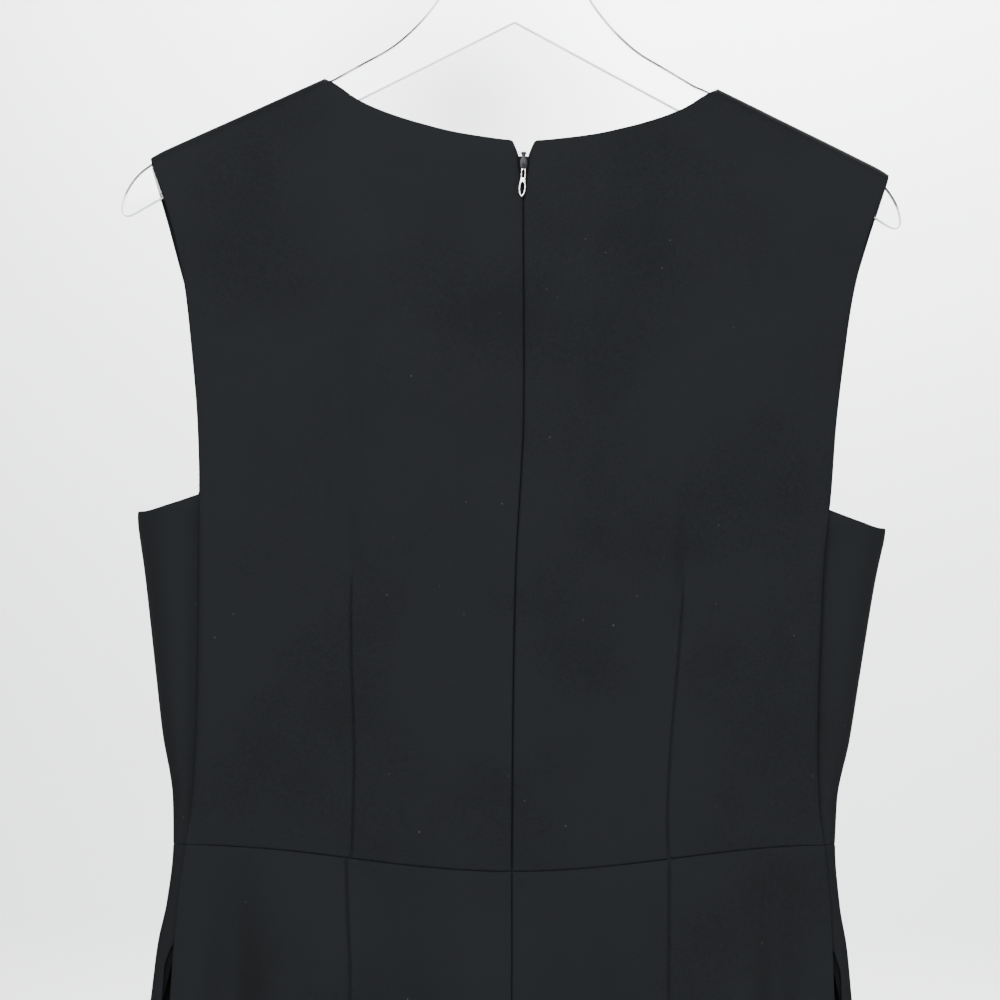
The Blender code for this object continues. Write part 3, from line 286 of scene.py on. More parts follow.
# ---- the zip's and hanger's sizes ----------------------------------------------------------------
SLIDER_DROP, SLIDER_PROUD = 43.0, 1.0
SLIDER_EDGE, PULL_EDGE = 0.45, 0.2      # rounding of their edges
ARCH_ROD, ARCH_OUT, ARCH_TOP, ARCH_BOTTOM = 0.7, 2.4, -0.4, -4.4
ARCH_CORNER, ARCH_ROOT = 0.9, 0.7       # bend of the bridge, and how deep its ends go into the slider
ARCH_WIDER = 1.2                        # how many times wider than thick it is
PULL_THICK, PULL_OUT, PULL_BAR, PULL_LEAN = 0.8, 1.0, 1.0, math.radians(3.5)
SLIDER_OUTLINE = [(0.0, -4.9), (1.1, -4.9), (1.5, -3.4), (2.1, -1.6), (2.25, 0.8), (1.8, 2.6),
                  (0.9, 3.5), (0.9, 4.6), (1.4, 5.0), (1.4, 6.2), (0.0, 6.2)]
PULL_OUTLINE = [(0.0, -14.6), (0.55, -14.2), (1.15, -13.2), (1.6, -11.8), (1.8, -9.9), (1.65, -7.8),
                (1.35, -6.0), (1.2, -4.7), (1.2, -0.1), (1.1, 0.35), (0.7, 0.5), (0.0, 0.5)]
PULL_SLOT = [(0.0, -4.4), (0.5, -4.3), (0.72, -3.9), (0.72, -0.5), (0.0, -0.5)]
PULL_RING = [(0.0, -13.7), (0.55, -12.9), (1.0, -11.5), (1.15, -10.0), (1.05, -8.4), (0.65, -7.1),
             (0.0, -6.5)]
CORNER_PASSES = 2                   # how often an outline's corners are cut off to round them
TEETH_TOP, TOOTH_PITCH, TOOTH_COUNT = 45.0, 1.0, 505
TOOTH_SIZE, TOOTH_EDGE = (1.6, 0.9, 0.62), 0.2
TOOTH_ASIDE, TOOTH_BEHIND = 0.75, 0.3   # a tooth's middle from the row's middle, and behind the tape
STITCH_AT, STITCH_DEEP, RIB_AT, RIB_DEEP = 6.5, 0.18, 1.2, 0.25     # lines pressed into the tape
PLATE_THICK, PLATE_UNDER_CLOTH, PLATE_EDGE = 6.0, 3.2, 1.1
PLATE_APEX, PLATE_SLOPE, PLATE_TOP = -31.4, 0.52, -98.0
PLATE_LOWER_AT = (0.0, 1.5, 60.0, 130.0, 184.0)         # points of the straight lower edge
PLATE_SHOULDER_AT = (184.0, 165.0, 135.0, 101.0)        # points of the upper edge under the cloth
PLATE_UPPER_AT = (*np.linspace(96.0, 18.0, 30), 12.0, 6.0, 0.0)     # and of the rest, in to the hook
ROD, ROD_DEPTH, HOOK_RADIUS = 3.0, 16.0, 20.5
HOOK_STRAIGHT, HOOK_PULL = 5.0, 8.0     # the wire stands straight above the plate, then bends softly
HOOK_JOIN, HOOK_FIRST, HOOK_TIP = -50.0, -47.0, 206.0   # degrees round the loop
SHARP = math.radians(35.0)          # a hard piece's edges that turn more than this stay sharp
PLATE_UPPER = table(
    "half   drop",
    (0.0,   PLATE_TOP),
    (9.0,   -97.2),
    (16.0,  -93.0),
    (20.5,  -85.0),
    (26.0,  -71.0),
    (33.0,  -56.5),
    (40.4,  -43.8),
    (47.5,  -34.4),
    (56.2,  -25.2),
    (65.6,  -17.4),
    (80.6,  -8.7),
    (96.0,  0.2),
)
PLATE_END = table(
    "half   drop",
    (188.0, 66.4),
    (194.0, 70.0),
    (199.5, 73.4),
    (203.2, 74.4),
    (205.7, 72.4),
    (206.0, 68.2),
    (204.4, 62.4),
    (201.0, 56.0),
    (196.4, 50.4),
    (191.0, 46.4),
)

# Masks of the painted line on the hanger's rounded rim, each from none to all, in metres: a painted
# reflection and a painted highlight in place of the rim's refraction. The line is painted dark this far aside
# of the hook and above the lower edge, and painted white again this low, at the plate's ends.
PAINTED_DARK_ASIDE, PAINTED_DARK_ABOVE, PAINTED_WHITE_ENDS = (0.054, 0.072), (-0.1146, -0.1096), (-0.2110, -0.2145)
PAINTED_LINE_STARTS, PAINTED_LINE_STOPS = (0.0019, 0.0021), (0.0030, 0.00297)       # its depth from the plate's middle

# ---- light and camera ----------------------------------------------------------------------------
# All in metres, watts and degrees.
WALL_TONE = (0.92, 0.93, 0.94)
WALL_AT, WALL_TOP, WALL_CURVE, FLOOR_AT, ROOM_HALF = 9.6, 1.6, 0.3, -1.72, 9.0
PAINTED_SHADOW_AT, PAINTED_SHADOW_REACH, PAINTED_SHADOW_TONE = (0.15, WALL_AT, 0.6), 0.45, 0.55    # a painted shadow: the wall is painted darker round here, behind the garment
WORLD_TONE, WORLD_STRENGTH = (0.97, 0.985, 1.0), 0.54
LIGHTS = (                          # name, place, what it faces, width and height, watts
    ("key_above",  (-0.3, -1.6, 0.35), (0.0, 0.0, -0.35), (1.4, 1.0), 72.0),
    ("fill_right", (1.9, -1.6, 0.2),   (0.0, 0.0, -0.5),  (1.4, 2.0), 37.0),
    ("key_front",  (0.7, 2.4, 1.7),    (0.0, 0.0, -0.4),  (1.4, 1.0), 150.0),
    ("wall_wash",  (0.7, 8.0, 1.9),    (0.7, 9.6, -1.2),  (3.2, 0.6), 440.0),
)
CAMERA_AWAY, FRAME_WIDE, SENSOR = 2.60, 0.5255, 36.0
CAMERA_AIM = (-0.0044, -0.012, -0.3702)
CAMERA_YAW, CAMERA_ROLL = -1.5, 0.85


# ---- curves --------------------------------------------------------------------------------------

def smooth(value):
    """0 below 0, 1 above 1 and an even S between."""
    t = np.clip(value, 0.0, 1.0)
    return t * t * (3.0 - 2.0 * t)


def read(rows, name, at):
    """One column's value at a place along the first: a cubic through the rows that never overshoots."""
    xs, ys = rows[next(iter(rows))], rows[name]
    step = np.diff(xs)
    rise = np.diff(ys) / step
    ahead, behind = 2 * step[1:] + step[:-1], step[1:] + 2 * step[:-1]
    turning = rise[:-1] * rise[1:] <= 0
    before, after = np.where(turning, 1.0, rise[:-1]), np.where(turning, 1.0, rise[1:])
    slope = np.concatenate([rise[:1], (ahead + behind) / (ahead / before + behind / after), rise[-1:]])
    slope[1:-1][turning] = 0.0
    at = np.clip(np.asarray(at, float), xs[0], xs[-1])
    i = np.clip(np.searchsorted(xs, at, side="right") - 1, 0, len(step) - 1)
    t, h = (at - xs[i]) / step[i], step[i]
    return ((1 + 2 * t) * (1 - t) ** 2 * ys[i] + t * (1 - t) ** 2 * h * slope[i]
            + t * t * (3 - 2 * t) * ys[i + 1] + t * t * (t - 1) * h * slope[i + 1])


def bump(distance):
    """A soft hill, 1 at no distance and nearly gone at 2."""
    return np.exp(-1.4 * distance ** 2)


def near(distance, reach):
    """1 at no distance, and gone at twice the reach."""
    return np.exp(-(distance / reach) ** 2)


def lengths(points):
    """Length along a polyline at each of its points."""
    return np.concatenate([[0.0], np.cumsum(np.linalg.norm(np.diff(points, axis=0), axis=1))])


def divide(points, at):
    """Points at the given lengths along a polyline."""
    along = lengths(points)
    return np.stack([np.interp(at, along, points[:, axis]) for axis in (0, 1)], axis=1)


def move_out(points, amount, turn):
    """Points moved out of the garment along a section's normals; turn is 1 on a front, -1 on a back."""
    steps = np.diff(points, axis=0)
    steps /= np.maximum(np.linalg.norm(steps, axis=1, keepdims=True), 1e-9)
    run = np.concatenate([steps[:1], steps[1:] + steps[:-1], steps[-1:]])
    normal = turn * np.stack([run[:, 1], -run[:, 0]], axis=1)
    normal /= np.maximum(np.linalg.norm(normal, axis=1, keepdims=True), 1e-9)
    return points + normal * np.reshape(amount, (-1, 1))


def spaced(start, end, near_start, near_end, count):
    """Places from start to end: close together beside both ends, and count even ones between."""
    start, end = np.reshape(start, (-1, 1)), np.reshape(end, (-1, 1))
    first, last = start + near_start, end - near_end[::-1]
    share = np.linspace(0.0, 1.0, count + 2)[1:-1]
    return np.concatenate([first, first[:, -1:] + (last[:, :1] - first[:, -1:]) * share, last], axis=1)


def wobble(x, drop, size, start):
    """Slow unevenness between -1 and 1, longer up and down than across."""
    total = 0.0
    for k in range(6):
        angle, wave = start + 2.4 * k, size * (0.7 + 0.22 * k)
        along = x * math.cos(angle) + 0.55 * drop * math.sin(angle)
        total = total + np.sin(along * 2 * math.pi / wave + 1.7 * k)
    return total / 6.0


# ---- the garment's form, as in the solids --------------------------------------------------------

def ridge_drop(x):
    """Drop of the shoulder line, carried on straight towards the centre."""
    return (np.abs(x) - NECK_HALF) * SHOULDER_SLOPE


def over_hanger(x, drop):
    """Share of the full depth: the cloth rounds in to the shoulder seam over the hanger."""
    t = np.clip((drop - ridge_drop(x)) / RIDGE, 0.0, 1.0)
    return np.sqrt(1.0 - (1.0 - t) ** 2)


def lines_height(folds, x, drop):
    """Height of soft folds at a signed x."""
    total = 0.0
    for x0, drop0, x1, drop1, wide, high in zip(*(folds[name] for name in FOLD_NAMES.split())):
        run_x, run_drop = x1 - x0, drop1 - drop0
        length = math.hypot(run_x, run_drop)
        along = ((x - x0) * run_x + (drop - drop0) * run_drop) / length ** 2
        across = ((x - x0) * run_drop - (drop - drop0) * run_x) / length
        ends = smooth((along + 0.25) / 0.5) * smooth((1.25 - along) / 0.5)
        total = total + high * bump(across / wide) * ends
    return total


def leg_fold(folds, side, way, drop):
    """Height of a leg's upright folds."""
    total = 0.0
    for row in np.flatnonzero(folds["side"] == side):
        heights = table("drop high", *zip(LEG_DROPS, (folds[f"h{i}"][row] for i in range(5))))
        across = (way - folds["way"][row]) / folds["wide"][row]
        total = total + read(heights, "high", drop) * bump(across)
    return total


def cup(x, drop):
    """Fullness that the waist darts give the front bodice."""
    across, along = (np.abs(x) - BUST_X) / BUST_WIDE, (drop - BUST_DROP) / BUST_HIGH
    return BUST_OUT * np.exp(-across ** 2 - along ** 2)


def legs_share(drop, t):
    """0 where one ring goes round both sides, 1 below the crotch: quick at the seat seam, soft outwards."""
    q = np.clip((drop - SEAT_TOP) / (CROTCH - SEAT_TOP), 0.0, 1.0)
    return (smooth(q) + (1.0 - math.sqrt(1.0 - q * q) - smooth(q)) * t ** SEAT_SOFT)[:, None]


def inner_x(drop):
    """Inner edge of a leg from the middle plane."""
    below = LEG_CLEAR * smooth((drop - CROTCH) / LEG_CLEAR_DROP)
    return SEAM / 2 + below + LEG_APART * smooth((drop - CROTCH) / (HEM - CROTCH))


def leg_arc(x_out, y_out, y_mid, x_in, t):
    """Half a leg's ring, from its outer edge over the back or front to the inseam."""
    cosine, sine = np.cos(np.pi * t), np.sin(np.pi * t)
    power = 2.0 / LEG_ROUND
    x = (x_out + x_in) / 2 + (x_out - x_in) / 2 * np.sign(cosine) * np.abs(cosine) ** power
    y_end = np.where(t < 0.5, y_out, math.copysign(SEAM / 2, y_mid))
    return np.stack([x, y_end + (y_mid - y_end) * np.abs(sine) ** power], axis=1)


def back_y(x, drop):
    """Depth of the back's outer face at a signed x, where one ring goes round."""
    middle, edge = read(TRUNK, "back", drop), read(TRUNK, "seam_y", drop)
    across = np.clip(np.abs(x) / read(TRUNK, "seam", drop), 0.0, 1.0)
    power = BACK_FLAT + (SEAT_FLAT - BACK_FLAT) * smooth((drop - WAIST) / FLAT_FADE)
    above_waist = smooth((WAIST - FOLDS_CLEAR - drop) / FOLDS_FADE)
    flat = middle + (edge - middle) * across ** power
    return (flat - lines_height(BACK_FOLDS, x, drop) * above_waist) * over_hanger(x, drop)


def front_y(x, drop):
    """Depth of the front's outer face at a signed x, where one ring goes round."""
    middle, edge = read(TRUNK, "front", drop), read(TRUNK, "side_y", drop)
    across = np.clip(np.abs(x) / read(TRUNK, "side", drop), 0.0, 1.0)
    flat = edge + (middle - edge) * (1.0 - across ** FRONT_ROUND) ** (1.0 / FRONT_ROUND)
    return (flat + cup(x, drop)) * over_hanger(x, drop)


def back_section(side, drop):
    """Outer face of the back at one height, from the side seam to the centre or inseam."""
    t = np.linspace(0.0, 1.0, DENSE)
    seam = read(TRUNK, "seam", drop)
    x = seam * (1.0 - t) + SEAM / 2 * t
    whole = np.stack([x, back_y(side * x, drop)], axis=1)
    share = legs_share(drop, t)
    ring = leg_arc(seam, read(TRUNK, "seam_y", drop), read(TRUNK, "back", drop), inner_x(drop), t)
    whole = whole * (1.0 - share) + ring * share
    if drop > WAIST:
        way = lengths(whole)
        whole = move_out(whole, leg_fold(LEG_FOLDS_BACK, side, way / way[-1], drop), -1)
    return whole


def front_return(drop):
    """Front piece where it comes round to the back: from behind the side seam to the outermost edge."""
    inner, outer = read(TRUNK, "seam", drop) - LAP, read(TRUNK, "side", drop)
    back, front = read(TRUNK, "seam_y", drop) + WALL + LAP_SPACE, read(TRUNK, "side_y", drop)
    angle = np.linspace(0.0, math.pi / 2, DENSE // 4)
    x = inner + (outer - inner) * np.sin(angle)
    return np.stack([x, front - (front - back) * np.cos(angle)], axis=1)


def front_main(side, drop):
    """Rest of the front piece, from the outermost edge to the centre or inseam."""
    t = np.linspace(0.0, 1.0, DENSE)
    edge, edge_y = read(TRUNK, "side", drop), read(TRUNK, "side_y", drop)
    last = math.acos(TURN_TO ** (FRONT_ROUND / 2))
    turned = np.cos(np.clip(t / TURN_SHARE, 0.0, 1.0) * last) ** (2.0 / FRONT_ROUND)
    x = edge * np.where(t < TURN_SHARE, turned, TURN_TO * (1.0 - t) / (1.0 - TURN_SHARE))
    x = np.maximum(x, SEAM / 2)
    whole = np.stack([x, front_y(side * x, drop)], axis=1)
    share = legs_share(drop, t)
    ring = leg_arc(edge, edge_y, read(TRUNK, "front", drop), inner_x(drop), t)
    whole = whole * (1.0 - share) + ring * share
    if drop > WAIST:
        way = lengths(whole)
        whole = move_out(whole, leg_fold(LEG_FOLDS_FRONT, side, way / way[-1], drop), 1)
    return whole


def slit(drop):
    """How far the pocket slit is open, 0 to 1."""
    return smooth((drop - SLIT_TOP) / SLIT_TOP_FADE) * smooth((SLIT_BOTTOM - drop) / SLIT_END_FADE)


def front_section(side, drop, open_slit):
    """Whole outer face of a front piece at one height, from its seam or slit edge inwards."""
    turned = front_return(drop)
    start = turned[0, 0] + open_slit * slit(drop) * SLIT_OPEN
    first = np.array([[start, np.interp(start, turned[:, 0], turned[:, 1])]])
    return np.concatenate([first, turned[turned[:, 0] > start], front_main(side, drop)[1:]])


def waist_dip(x, drop, dip):
    """Extra drop at a signed x near the waist seam, which leans and curves down to the centre."""
    across = np.clip(x / WAIST_WIDE, -1.0, 1.0)
    curve = dip * (0.5 + 0.5 * np.cos(np.pi * across)) + WAIST_LEAN * across
    return curve * (1.0 - smooth(np.abs(drop - WAIST) / WAIST_FADE))


def zip_gap(drop):
    """Half the space between the two back edges: open at the neck, closed below the pull."""
    return SEAM + ZIP_OPEN * smooth((ZIP_CLOSED_BELOW - drop) / ZIP_OPEN_FADE)


def sway(x, drop):
    """How far a back piece's point lies aside at a signed x: less towards the shoulder and side seams."""
    reach = SWAY_NECK + (SWAY_SEAM - SWAY_NECK) * smooth((drop - SWAY_ALL) / SWAY_FADE)
    return read(SWAY, "aside", drop) * smooth((reach - np.abs(x)) / SWAY_ENDS)


def placed(x, y, drop):
    """Garment points at a signed x, in metres, one row of three numbers each."""
    lean = read(HANG, "lean", drop) * np.clip(x / NECK_HALF, -1.0, 1.0) ** 3
    return np.stack([x + read(HANG, "aside", drop), y, -NECK_BELOW_HOOK - drop - lean], axis=-1) * MM


# ---- relief: seams, darts and edges --------------------------------------------------------------

def rolled(distance, reach, depth):
    """How far a rounded edge falls away at a distance from it."""
    t = np.clip(1.0 - distance / reach, 0.0, 1.0)
    return depth * (1.0 - np.sqrt(1.0 - t ** 2))


def seam_edge(distance):
    """A sewn edge: it turns in sharply, and the cloth beside it sinks a little."""
    return -rolled(distance, reach=1.4, depth=1.0) - 0.35 * near(distance, 4.5)


def waist_edge(x, distance):
    """The waist seam's edge, shallower where it goes round the garment's side."""
    return seam_edge(distance) * (1.0 - 0.7 * smooth((np.abs(x) - WAIST_TURN) / WAIST_TURN_WIDE))


def waist_gap(distance):
    """How far a piece stops short of the waist seam, fading away from it."""
    return WAIST_GAP * (1.0 - smooth(distance / WAIST_GAP_FADE))


def panel_wide(drop):
    """Width of the front bodice's strip that shows from the back."""
    return read(TRUNK, "side", drop) - read(TRUNK, "seam", drop)


def side_tuck(drop):
    """How far the bodice's side seam is drawn in, 0 to 1: not at its two ends."""
    ends = smooth((drop - UNDERARM) / TUCK_FADE) * smooth((WAIST - drop) / TUCK_FADE)
    return np.minimum(panel_wide(drop) / TUCK_WIDE, 1.0) * ends


def free_edge(distance):
    """A faced edge: rounded, and easing inwards over its last few millimetres."""
    return -rolled(distance, reach=0.9, depth=0.75) - 0.8 * np.clip(1.0 - distance / 9.0, 0.0, 1.0) ** 2


def side_edge(distance):
    """The back's edge where it lies over the front at the side seam."""
    return -rolled(distance, reach=1.0, depth=0.85)


def inner_rounding(distance):
    """The rounding of the cloth's inner face at an edge, as an inset."""
    return rolled(distance, reach=0.7, depth=0.5)


def dart_line(away, amount):
    """A sewn dart: a sharp line with the fold's ridge on its centre side."""
    fold = 0.3 * np.exp(-np.abs(away) / 7.0) * smooth(-away / 0.8)
    return amount * (fold - near(away, 0.55) - 0.35 * near(away, 3.0))


def puckers(along, distance, wave, start):
    """Small ripples that a line of stitches draws up beside it."""
    ripple = np.sin(along * 2 * math.pi / wave + 1.3 * np.sin(along * 0.11 + start))
    return 0.14 * ripple * near(distance, 7.0)


# ---- meshes --------------------------------------------------------------------------------------

def add_piece(name, mesh, finish, body, slot_name, *nodes):
    """A finished piece, riding on its body and standing for its nodes."""
    piece = bpy.data.objects.new(name, mesh)
    bpy.context.scene.collection.objects.link(piece)
    mesh.materials.append(finish)
    own_piece(piece, body, slot_name, *nodes)
    return piece


def own_piece(piece, body, slot_name, *nodes):
    """Names what a piece rides on and which nodes it stands for; its slot name is not used."""
    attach(piece, body)
    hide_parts(*nodes)


def face_normals(places, quads):
    """Normals at the points, from the faces round them."""
    square = np.cross(places[quads[:, 2]] - places[quads[:, 0]], places[quads[:, 3]] - places[quads[:, 1]])
    total = np.zeros_like(places)
    for corner in range(4):
        np.add.at(total, quads[:, corner], square)
    return total / np.maximum(np.linalg.norm(total, axis=1, keepdims=True), 1e-15)


def step_sizes(points, axis):
    """Distance of a grid's points from the ones before them, and 0 at the first and where one is cut out."""
    steps = np.diff(points, axis=axis, prepend=points.take([0], axis))
    return np.nan_to_num(np.linalg.norm(steps, axis=2))


def cloth_mesh(name, points, outward, relief, inset, thickness):
    """A closed wall of cloth from a grid of points, raised outside by relief and set in inside by inset.

    A corner of the grid that is cut out holds no numbers.
    """
    kept = np.isfinite(points[..., 0])
    index = np.full(kept.shape, -1)
    index[kept] = np.arange(kept.sum())
    corners = (index[:-1, :-1], index[1:, :-1], index[1:, 1:], index[:-1, 1:])
    quads = np.stack(corners, axis=-1).reshape(-1, 4)
    quads = quads[(quads >= 0).all(axis=1)]
    places, count = points[kept], int(kept.sum())
    normal = face_normals(places, quads)
    if (normal * outward).sum() < 0:
        quads, normal = quads[:, ::-1], -normal
    outer = places + normal * relief[kept][:, None] * MM
    inner = places - normal * (thickness - inset[kept][:, None]) * MM
    start, end = quads.ravel(), np.roll(quads, -1, axis=1).ravel()
    border = ~np.isin(start * count + end, end * count + start)
    start, end = start[border], end[border]
    rim = np.stack([end, start, start + count, end + count], axis=-1)
    faces = np.concatenate([quads, quads[:, ::-1] + count, rim])
    mesh = bpy.data.meshes.new(name)
    mesh.from_pydata(np.concatenate([outer, inner]).tolist(), [], faces.tolist())
    across, along = (np.cumsum(step_sizes(points, axis), axis=axis) for axis in (1, 0))
    place = np.stack([across - across[:, -1:] / 2, along], axis=-1)[kept]
    weave = mesh.uv_layers.new(name="weave")
    loops = np.empty(len(mesh.loops), int)
    mesh.loops.foreach_get("vertex_index", loops)
    weave.data.foreach_set("uv", np.concatenate([place, place])[loops].ravel())
    mesh.shade_smooth()
    mesh.update()
    return mesh


def sewn(name, points, outward, relief, inset, node, finish):
    """A cut piece of the garment."""
    mesh = cloth_mesh(name, points, outward, relief, inset, CLOTH)
    piece = add_piece(name, mesh, finish, BODY, "black cloth", node)


def side_name(side):
    """The side's name in the names of pieces and columns."""
    return "left" if side == LEFT else "right"


# ---- the bodice ----------------------------------------------------------------------------------

def rows_to_top(low_x, low_drop, top_x, top_drop, arm, count):
    """x and drop of the rows from a level line up to the neckline and over the hanger's edge."""
    share_out = (low_x / low_x[-1]) ** 2
    steps = [(share, RIDGE) for share in np.linspace(0.0, 1.0, count + 1)[1:-1]]
    steps += [(1.0, RIDGE * (1.0 - math.cos(math.radians(turn)))) for turn in TURNS]
    xs, drops = [], []
    for share, under in steps:
        drop = low_drop + (top_drop + under - low_drop) * share
        climbed = (low_drop - drop) / (low_drop - top_drop)
        x = low_x + (top_x - low_x) * smooth(climbed)
        xs.append(x + (read(arm, "half", drop[-1]) - x[-1]) * share_out)
        drops.append(drop)
    return np.array(xs), np.array(drops)


def below_neck(x, drop, neck):
    """Distance below a neckline, square to it."""
    ahead = read(neck, "drop", np.abs(x) + 1.0) - read(neck, "drop", np.abs(x) - 1.0)
    away = (drop - read(neck, "drop", np.abs(x))) / np.sqrt(1.0 + (ahead / 2.0) ** 2)
    return np.where(np.abs(x) < NECK_HALF, np.maximum(away, 0.0), FAR)


def top_relief(x, drop, edge, to_neck, armhole):
    """Relief of the faced edges of the neck and armhole and of the shoulder seam."""
    to_ridge = np.where(x > NECK_HALF, np.maximum(drop - ridge_drop(x), 0.0), FAR)
    faced = np.where(armhole, free_edge(edge), 0.0) + free_edge(to_neck)
    return faced - rolled(to_ridge, reach=1.2, depth=0.4)


def bodice_stitches(side, x, drop, away, sewn_dart):
    """Relief that both faces of the bodice have: waist seam, waist dart and their puckers."""
    return (waist_edge(x, WAIST - drop) + dart_line(away, sewn_dart)
            + puckers(drop, away, DART_PUCKERS, side) * sewn_dart
            + puckers(x, WAIST - drop, WAIST_PUCKERS, side))


def back_dart_x(side, drop):
    """Line of a back dart."""
    return read(DART_BACK, side_name(side), drop)


def make_bodice_back(side, finish):
    """Half the back bodice, with its waist dart, from the waist seam to the neckline and shoulder."""
    even = np.arange(WAIST - EDGE[-1] - PITCH, UNDERARM + 1.0, -PITCH)
    heights = np.concatenate([WAIST - EDGE, even, [UNDERARM]])
    dart, seam = back_dart_x(side, heights), read(TRUNK, "seam", heights)
    low, top = (np.concatenate([spaced(start, middle, EDGE, DART, BACK_COLUMNS),
                                spaced(middle, end, DART, EDGE, BACK_COLUMNS)[:, 1:]], axis=1)
                for start, middle, end in ((zip_gap(heights), dart, seam), (0.0, NECK_HALF, TIP_HALF)))
    top_x = top[0]
    top_drop = np.where(top_x < NECK_HALF, read(NECK_BACK, "drop", top_x), ridge_drop(top_x))
    notched = np.clip(1.0 - top_x / NOTCH_WIDE, 0.0, 1.0) ** NOTCH_CURVE
    notch = (NOTCH_DROP - NECK_BACK["drop"][0]) * notched
    up_x, up_drop = rows_to_top(low[-1], UNDERARM, top_x, top_drop + notch, ARM_BACK, BACK_ROWS)
    x = np.concatenate([low, up_x])
    drop = np.concatenate([np.repeat(heights[:, None], low.shape[1], axis=1), up_drop])
    # The centre edge moves out to the zip's gap, and the columns beside it follow less and less.
    x = x + np.maximum(zip_gap(drop[:, :1]) - x[:, :1], 0.0) * np.clip(1.0 - x / 50.0, 0.0, 1.0)
    signed, edge = side * x, x[:, -1:] - x
    y = np.where(drop - ridge_drop(x) < FINE, -SEAM / 2, back_y(signed, drop))
    drawn_in = rolled(edge, SIDE_ROLL_WIDE, SIDE_ROLL) * side_tuck(drop)
    y = y - lines_height(BACK_CREASES, signed, drop) + drawn_in
    level = drop + waist_dip(signed, drop, WAIST_DIP_BACK) - waist_gap(WAIST - drop)
    points = placed(signed + sway(signed, drop), y, level)
    to_neck = below_neck(x, drop - notch[None] * (drop < UNDERARM), NECK_BACK)
    sewn_dart = smooth((drop - DART_APEX_BACK) / DART_FADE)
    armhole = drop < UNDERARM + 4.0
    relief = (seam_edge(x - x[:, :1]) + bodice_stitches(side, x, drop, x - back_dart_x(side, drop), sewn_dart)
              + top_relief(x, drop, edge, to_neck, armhole) + np.where(armhole, 0.0, side_edge(edge))
              + puckers(drop, x, SEAM_PUCKERS, 2.0) * smooth((drop - 60.0) / 30.0)
              + UNEVEN * wobble(signed, drop, size=62.0, start=1.0) * smooth(edge / UNEVEN_FADE))
    inset = np.minimum(inner_rounding(edge) * armhole + inner_rounding(to_neck), INSET_MOST)
    name = side_name(side)
    sewn(f"back_bodice_{name}", points, (0, -1, 0), relief, inset, f"bodice_back_{name}", finish)


def front_columns(side, drop):
    """Points of half the front bodice at one height, and the columns of its armhole edge and dart."""
    section = front_section(side, drop, 0)
    along = lengths(section)
    outermost = int(np.argmax(section[:, 0]))
    below_arm = read(TRUNK, "side", drop) / read(TRUNK, "side", ARM_JOIN) * read(ARM_FRONT, "half", ARM_JOIN)
    inward, dart = (np.interp(-x, -section[outermost:, 0], along[outermost:])
                    for x in (below_arm, DART_FRONT_X))
    parts = [spaced(0.0, along[outermost], EDGE[:7], EDGE[:1], 9)[0],
             np.linspace(along[outermost], inward, 12)[1:],
             spaced(inward, dart, EDGE, DART, FRONT_COLUMNS)[0, 1:],
             spaced(dart, along[-1], DART, EDGE[:1], FRONT_COLUMNS)[0, 1:]]
    ends = np.cumsum([len(part) for part in parts]) - 1
    return divide(section, np.concatenate(parts)), ends[1], ends[2]


def front_low(side):
    """x, y and drop of half the front's grid up to its armhole, the edge it ends at, and two columns."""
    levels = np.arange(ARM_JOIN, WAIST + 2 * LEVEL_STEP, LEVEL_STEP)
    found = [front_columns(side, level) for level in levels]
    arm_at, dart_at = found[0][1:]
    sheet = np.array([points for points, *_ in found])
    columns = sheet.shape[1]
    under_arm = sheet[int(np.argmin(np.abs(levels - UNDERARM))), :arm_at + 1]
    way = lengths(under_arm)
    tops = np.full(columns, ARM_JOIN)
    tops[:arm_at + 1] = read(ARM_CURVE, "drop", way / way[-1])
    tall = WAIST - ARM_JOIN
    share = spaced(0.0, 1.0, EDGE / tall, EDGE / tall, FRONT_LOW_ROWS)[0]
    drop = WAIST + (tops[None] - WAIST) * share[:, None]
    x, y = (np.stack([np.interp(drop[:, c], levels, sheet[:, c, axis]) for c in range(columns)], axis=1)
            for axis in (0, 1))
    x[:, -1] = 0.0
    return x, y, drop, tops, arm_at, dart_at


def front_top(side, low_x, neck_columns, arm_columns):
    """x, y and drop of the rows above, up to the neckline and shoulder, from a row's x outwards."""
    neck_count, arm_count = neck_columns - len(DART) + 1, arm_columns + 1 - len(DART) - len(EDGE)
    top_x = np.concatenate([np.linspace(0.0, NECK_HALF - DART[-1], neck_count), NECK_HALF - DART[-2::-1],
                            spaced(NECK_HALF, TIP_HALF, DART, EDGE, arm_count)[0, 1:]])
    top_drop = np.where(top_x < NECK_HALF, read(NECK_FRONT, "drop", top_x), ridge_drop(top_x))
    x, drop = rows_to_top(low_x, ARM_JOIN, top_x, top_drop, ARM_FRONT, FRONT_ROWS)
    return x, np.where(drop - ridge_drop(x) < FINE, SEAM / 2, front_y(side * x, drop)), drop


